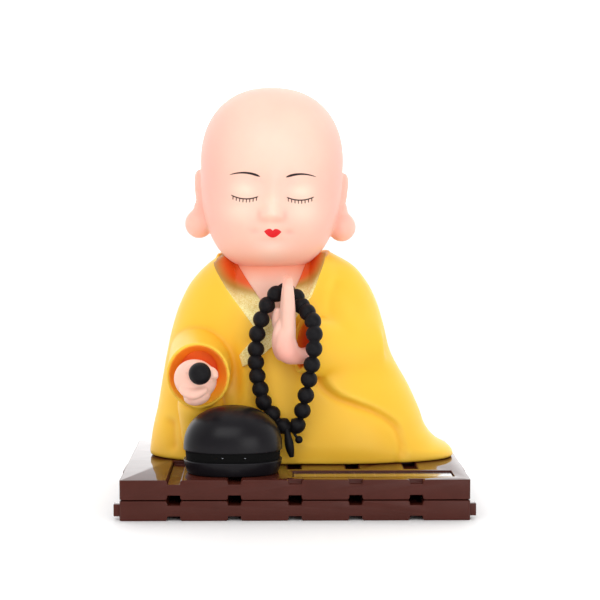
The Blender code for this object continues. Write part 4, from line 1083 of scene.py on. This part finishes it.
gloss = add_node(face_tree, "MapRange", {0: lips_mask, 3: 0.44, 4: 0.3}).outputs[0]
face_tree.links.new(gloss, face_shader.inputs["Roughness"])
print("painted face", len(face_tree.nodes), "nodes")

# %% [markdown]
# ## Head
# The head is a big egg with a flat chin, and a doll's face modelled in low relief: a small nose, soft
# cheeks, eyelids and mouth corners. The ears hang long, with a rim, a hollow and a round lobe. All of it
# starts as balls that are run together by a voxel remesh, because vinyl dolls have no hard edges there.

# %% Head
def face_relief(x, z):
    """How far the face stands out at (x, z) from the head's middle."""
    x = x - FACE_SHIFT
    # Nose and its bridge, the mouth's mound, the chin, the hollow between them and the forehead
    out = 2.5 * hill(x, z, (0.0, -15.0), (2.4, 2.1)) + 1.1 * hill(x, z, (0.0, -9.8), (1.8, 5.0))
    out = out + 0.9 * hill(x, z, (0.3, -19.4), (3.6, 2.8)) + 1.0 * hill(x, z, (0.0, -26.4), (5.6, 3.2))
    out = out - 0.5 * hill(x, z, (0.3, -23.4), (3.2, 1.0)) + 0.6 * hill(x, z, (0.0, 8.0), (14.0, 10.0))
    # On both sides: nostril, cheek, eyelid, the hollow by the brow, the lid's edge and the mouth's corner
    for side in (-1, 1):
        out = out + 0.7 * hill(x, z, (side * 2.8, -15.8), (1.3, 1.2))
        out = out + 1.2 * hill(x, z, (side * 9.5, -15.6), (6.0, 6.0))
        out = out + 0.75 * hill(x, z, (side * 8.6, -8.0), (4.4, 2.7))
        out = out - 1.0 * hill(x, z, (side * 5.4, -5.2), (3.6, 2.6), side * 24)
        out = out - 0.45 * hill(x, z, (side * 8.8, -11.4), (5.0, 0.9))
        out = out - 0.45 * hill(x, z, (side * 5.0, -20.6), (1.4, 1.0))
    return out


def head_points(points):
    """Moves a unit ball's points to the head's surface about its middle."""
    x, y, z = points.T
    turn, lift = np.arctan2(y, x), np.arctan2(z, np.hypot(x, y))
    up, out = np.sin(lift), np.cos(lift)
    above = up > 0
    tall = np.where(above, HEAD_UP, HEAD_DOWN)
    power = np.where(above, 2.25, 2.9)
    taper = np.where(above, 1.0, 1 - 0.085 * np.abs(up) ** 1.5)
    reach = (np.abs(out) ** power + np.abs(up) ** power) ** (-1 / power)
    c, s = np.cos(turn), np.sin(turn)
    deep = np.where(s > 0, HEAD_BACK, HEAD_FRONT)
    plan = (np.abs(c / HEAD_HALF) ** 2.2 + np.abs(s / deep) ** 2.2) ** (-1 / 2.2)
    wide = plan * out * reach * taper
    made = np.stack([wide * c, wide * s, tall * up * reach], 1)
    made[:, 1] -= face_relief(made[:, 0], made[:, 2]) * np.clip(-2.2 * s, 0, 1)
    return made


def place_on_neck(points):
    """From millimetres about the head's middle to the head's place, with its slight tilt."""
    c, s = math.cos(FACE_TILT), math.sin(FACE_TILT)
    spin = np.array([[c, 0, s], [0, 1, 0], [-s, 0, c]])
    return points @ spin.T + HEAD_MIDDLE + FOOT


skull = unit_ball("skull", 320, 220)
move_points(skull, head_points(points_of(skull)))
clay = [skull]
for side in (-1, 1):
    clay.append(ball("ear_shell", (side * 21.4, 4.6, -9.2), (3.2, 5.4, 6.8), side * 8))
    clay.append(ball("ear_neck", (side * 21.6, 3.8, -14.6), (2.7, 4.0, 5.0)))
    clay.append(ball("ear_lobe", (side * 22.0, 3.2, -19.0), (4.4, 4.6, 4.7)))
head = joined("monk_head", clay)
run_together(head, 0.42, 5)


def carve_ears(points):
    """Hollows out each ear inside its rim."""
    x, y, z = points.T
    for side in (-1, 1):
        outside = smoothstep(20.0, 22.0, side * x)
        hollow = 1.7 * hill(y, z, (4.2, -9.2), (2.7, 4.0)) + 0.5 * hill(y, z, (3.6, -15.0), (1.4, 2.4))
        x = x - side * hollow * outside
    return np.stack([x, y, z], 1)


move_points(head, place_on_neck(carve_ears(points_of(head))))
apply_modifier(head, "SMOOTH", factor=0.5, iterations=2)
finish_piece(head, FACE, ["head"], 80)

# %% [markdown]
# ## Neck and chest
# Between the collar bands a smooth chest shows, and the neck goes up into the head. It is a drawn-out ball
# with an oval section, whose front is the surface that the bands roll down to.

# %% Chest
chest = unit_ball("bare_chest", 96, 64)
points = points_of(chest)
t = (points[:, 2] + 1) / 2
round_off = rounded(points[:, 2], 8)
turn = np.arctan2(points[:, 1], points[:, 0])
height = 36.0 + t * 27.0
share = (height - 38.0) / 32.0
x = (9.6 + 3.0 * share) * round_off * np.cos(turn)
y = -3.6 + 2.0 * share + (11.6 - 0.8 * share) * round_off * np.sin(turn)
move_points(chest, np.stack([x, y, height], 1) + FOOT)
finish_piece(chest, SKIN, ["neck_and_chest"], 80)

# %% [markdown]
# ## Hands
# Both hands are simple, as on all such figures. The right one is a round fist with a thumb and curled
# fingers, the left one is held upright with its edge to the front. Fingers are drawn-out balls, run together
# with the palm at a finer voxel, so that the shallow lines between the fingers stay.

# %% Right fist
MALLET = np.array([-20.8, -41.0, 29.6])
FIST = np.array([-22.3, -33.6, 26.4])
Y_AXIS, Z_AXIS = (0, 1, 0), (0, 0, 1)


def clay_rod(name, path, radii, across, blunt=5.0):
    return drawn_out(name, np.asarray(path, float) + FOOT, radii, across, blunt=blunt)


fist = [ball("palm", FIST + FOOT + (-0.1, 0.2, 0.7), (6.3, 6.2, 5.8), 20)]
fist.append(ball("heel", FIST + FOOT + (0.4, -0.8, -3.9), (4.0, 4.2, 2.9), -12))
curled = FIST + [(-4.2, -3.4, -1.6), (-0.6, -5.4, -2.9), (3.4, -4.2, -1.4)]
fist.append(clay_rod("curled", curled, [1.4, 1.7, 1.3], Z_AXIS))
thumb = FIST + [(2.8, -1.0, 3.4), (4.9, -3.0, 2.7), (5.3, -4.2, 1.2)]
fist.append(clay_rod("thumb", thumb, [1.8, 1.7, 1.4], Z_AXIS))
grip = FIST + [(-2.6, -4.4, 3.6), (0.2, -5.4, 4.6), (3.0, -4.6, 4.0)]
fist.append(clay_rod("grip", grip, [1.6, 1.8, 1.4], Z_AXIS))
forearm = [FIST + (0, 2.0, 0.0), between(RIGHT_CUFF, RIGHT_ELBOW, 0.5) - (0, 0, 3.0)]
fist.append(clay_rod("forearm", forearm, [4.6, 4.0], Z_AXIS))
fist = joined("mallet_fist", fist)
run_together(fist, 0.3, 4)
finish_piece(fist, SKIN, ["mallet_hand"], 80)

# %% [markdown]
# ## Praying hand
# The raised hand is thin from the front: the little finger's edge faces the viewer, and the palm shows
# behind it as a darker strip on the left.

# %% Left hand
TIP = np.array([4.75, -27.0, 57.2])
hand = []
for i, (reach, lean) in enumerate(((0.90, -1.9), (1.0, -1.4), (0.97, -0.7), (0.99, 0.0))):
    y = 2.2 - 2.1 * i
    root = np.array([4.6 + lean * 0.7, -28.0 + 0.5 * y, 34.6])
    end = between(root, TIP + (lean * 0.2, y, 0.0), reach)
    middle = between(root, end, 0.5) + (0.25, 0, 0)
    hand.append(clay_rod(f"finger_{i}", [root, middle, end], [2.3, 2.0, 1.3], Y_AXIS, 7.0))
hand.append(ball("palm", FOOT + (3.0, -27.0, 38.4), (3.1, 4.2, 6.6), 4))
thumb = [(3.2, -24.0, 38.6), (1.6, -23.4, 43.2), (1.9, -23.8, 47.4)]
hand.append(clay_rod("thumb", thumb, [1.9, 1.8, 1.4], Y_AXIS))
heel = [
    (4.7, -30.4, 43.0), (4.1, -30.0, 37.8), (4.9, -29.8, 34.7),
    (7.8, -28.4, 33.4), (11.0, -25.0, 33.3), (16.0, -20.0, 33.0),
]
hand.append(clay_rod("heel", heel, [2.0, 3.2, 3.5, 2.5, 2.5, 2.8], (0, 1, 0.6)))
hand = joined("raised_hand", hand)
run_together(hand, 0.28, 10)
finish_piece(hand, SKIN, ["praying_hand"], 80)

# %% [markdown]
# ## Mallet
# Mallet and beads are matt black, like stained wood: a broad dull sheen and no sharp highlight. The mallet's
# head is a ball on a stick that goes through the fist. Ball and stick are run together, so that the stick
# grows out of the head as in a turned piece.

# %% Mallet and its black finish
def matt_black(name):
    made, tree, shader = new_material(name, "#1E1C20", Roughness=0.5, Specular_IOR_Level=0.13)
    place = add_node(tree, "TexCoord").outputs["Object"]
    grain = add_node(tree, "TexNoise", {"Vector": place, "Scale": 1 / (0.5 * MM), "Detail": 4.0}).outputs["Fac"]
    tint = add_node(tree, "Mix", {0: grain, 6: linear("#0D0C0E"), 7: linear("#1A181B")}, data_type="RGBA")
    tree.links.new(tint.outputs[2], shader.inputs["Base Color"])
    rough = add_node(tree, "MapRange", {0: grain, 3: 0.42, 4: 0.56}).outputs[0]
    tree.links.new(rough, shader.inputs["Roughness"])
    bump = add_node(tree, "Bump", {"Height": grain, "Strength": 0.15, "Distance": 0.03 * MM}).outputs[0]
    tree.links.new(bump, shader.inputs["Normal"])
    return made


BLACK = matt_black("stained_wood_matt_black")
knob = ball("knob", MALLET + FOOT, (3.25, 3.3, 3.25), segments=48, rings=32)
stick = clay_rod("stick", [MALLET + (0, 1.0, 0), MALLET + (0, 12.8, 0)], [1.1, 1.1], Z_AXIS, 12.0)
mallet = joined("fish_mallet", [knob, stick])
run_together(mallet, 0.2, 3)
finish_piece(mallet, BLACK, ["mallet"], 60)

# %% [markdown]
# ## Prayer beads
# The string is one ring whose thickness follows each bead's round: the beads touch, so nothing of the thread
# shows. It could be a row of balls, but a ring stays one closed skin. A long pendant and a small end bead
# hang from the lowest point.

# %% Bead string
BEADS = np.array(
    [
        (1.1, -21.9, 51.2), (-1.5, -22.8, 48.0), (-3.2, -23.9, 43.9), (-4.4, -24.5, 39.6), (-4.8, -24.9, 35.1),
        (-4.8, -25.0, 31.2), (-4.4, -25.0, 27.1), (-3.5, -25.0, 23.2), (-2.5, -25.0, 19.4), (0.0, -25.0, 15.8),
        (3.3, -25.2, 12.3), (7.3, -26.0, 12.5), (8.9, -27.5, 17.1), (9.9, -29.5, 21.9), (10.8, -31.2, 26.8),
        (11.6, -32.6, 31.3), (12.2, -33.5, 36.0), (12.3, -33.4, 40.3), (11.9, -31.5, 43.9), (10.4, -28.8, 46.3),
        (8.8, -26.0, 48.0), (7.2, -23.0, 50.4), (4.2, -21.2, 52.2),
    ]
)
BEAD_RADIUS = 2.5


def round_line(points, at):
    """Points on a closed smooth line; at counts in points."""
    count = len(points)
    i = np.floor(at).astype(int)
    t = (at - i)[:, None]
    a, b, c, d = (points[(i + k) % count] for k in (-1, 0, 1, 2))
    return b + 0.5 * t * (c - a + t * (2 * a - 5 * b + 4 * c - d + t * (3 * (b - c) + d - a)))


bpy.ops.object.select_all(action="DESELECT")
bpy.ops.mesh.primitive_torus_add(
    major_segments=18 * len(BEADS), minor_segments=22, major_radius=2 * MM, minor_radius=MM
)
beads = named("prayer_bead_string")
points = points_of(beads)
at = np.mod(np.arctan2(points[:, 1], points[:, 0]) / (2 * math.pi), 1.0) * len(BEADS)
turn = np.arctan2(points[:, 2], np.hypot(points[:, 0], points[:, 1]) - 2)
place = round_line(BEADS, at)
ahead = unit(round_line(BEADS, at + 0.02) - round_line(BEADS, at - 0.02))
side = unit(np.cross(ahead, [0, 1.0, 0]))
other = np.cross(side, ahead)
off = np.linalg.norm(place - BEADS[np.round(at).astype(int) % len(BEADS)], axis=1)
size = np.sqrt(np.maximum(BEAD_RADIUS**2 - off**2, 0.9**2))
placed = place + side * (size * np.cos(turn))[:, None] + other * (size * np.sin(turn))[:, None]
move_points(beads, placed + FOOT)
pendant_line = [(4.3, -26.3, 11.6), (4.6, -27.2, 9.6), (5.1, -27.4, 6.6), (5.8, -27.4, 3.2)]
pendant = clay_rod("pendant", pendant_line, [0.9, 1.0, 1.35, 0.75], Y_AXIS, 14.0)
thread_line = [(6.2, -26.4, 10.6), (7.0, -26.6, 9.4), (7.7, -26.6, 8.6)]
thread = clay_rod("thread", thread_line, [0.45, 0.45, 0.45], Y_AXIS)
end_bead = ball("end_bead", np.array([7.9, -26.6, 8.3]) + FOOT, (1.15, 1.15, 1.15))
beads = joined("prayer_bead_string", [beads, pendant, thread, end_bead])
finish_piece(beads, BLACK, ["prayer_beads"], 40)

# %% [markdown]
# ## Floor and light
# The photograph was taken in a light tent: a white floor that runs up into a white wall, one big soft lamp
# above the camera and soft light from all sides. A wide white floor, a white world that is brighter behind
# the object than in front, and two large area lamps give the same soft, bright look. The world's light
# from behind also keeps the far floor as white as the wall, so no horizon shows.

# %% Studio
floor = block("studio_floor", (-4000, -2500, -4), (4000, 6000, -0.02))
floor.data.materials.append(new_material("white_acrylic_sweep", "#FBFBFB", Roughness=0.6)[0])

world = bpy.data.worlds.new("light_tent")
bpy.context.scene.world = world
world.use_nodes = True
sky = world.node_tree.nodes["Background"]
sky.inputs["Color"].default_value = (1.0, 1.0, 1.0, 1.0)
ray = add_node(world.node_tree, "SeparateXYZ", {0: add_node(world.node_tree, "TexCoord").outputs["Generated"]})
glow_and_painted_shade = add_node(world.node_tree, "MapRange", {0: ray.outputs["Y"], 1: -0.6, 2: 0.8, 3: 0.5, 4: 1.75})
world.node_tree.links.new(glow_and_painted_shade.outputs[0], sky.inputs["Strength"])


def area_lamp(name, place, target, size, power):
    """A square lamp of some metres and watts that shines at a target."""
    lamp = bpy.data.lights.new(name, "AREA")
    lamp.shape, lamp.size, lamp.energy = "SQUARE", size, power
    made = bpy.data.objects.new(name, lamp)
    bpy.context.scene.collection.objects.link(made)
    made.location = place
    made.rotation_euler = (Vector(target) - Vector(place)).to_track_quat("-Z", "Y").to_euler()
    print(name, power, "W")


area_lamp("key_lamp", (-0.2, -0.85, 0.75), (0, 0, 0.06), 0.6, 3.4)
area_lamp("fill_lamp", (0.5, -1.1, 0.14), (0, 0, 0.05), 0.7, 4.4)

# %% [markdown]
# ## Camera
# The camera stands half a metre in front, at the height of the eyes, and looks slightly down. Its lens
# length comes from the same measurements as the part's own sizes.

# %% Camera
LENS_PIXELS, FRAME_PIXELS, FILM, AIM_DOWN, AIM_RIGHT_PIXELS = 1810, 600, 36.0, 3.9, 29
camera = bpy.data.objects.new("camera", bpy.data.cameras.new("camera"))
bpy.context.scene.collection.objects.link(camera)
camera.data.sensor_width = FILM
camera.data.lens = LENS_PIXELS * FILM / FRAME_PIXELS
camera.data.clip_start = 0.01
camera.location = (-0.0068, -0.550, 0.0978)
camera.rotation_euler = (math.radians(90 - AIM_DOWN), 0, -math.atan2(AIM_RIGHT_PIXELS, LENS_PIXELS))
bpy.context.scene.camera = camera
bpy.context.scene.view_settings.view_transform = "Standard"
print("lens", camera.data.lens, "mm")
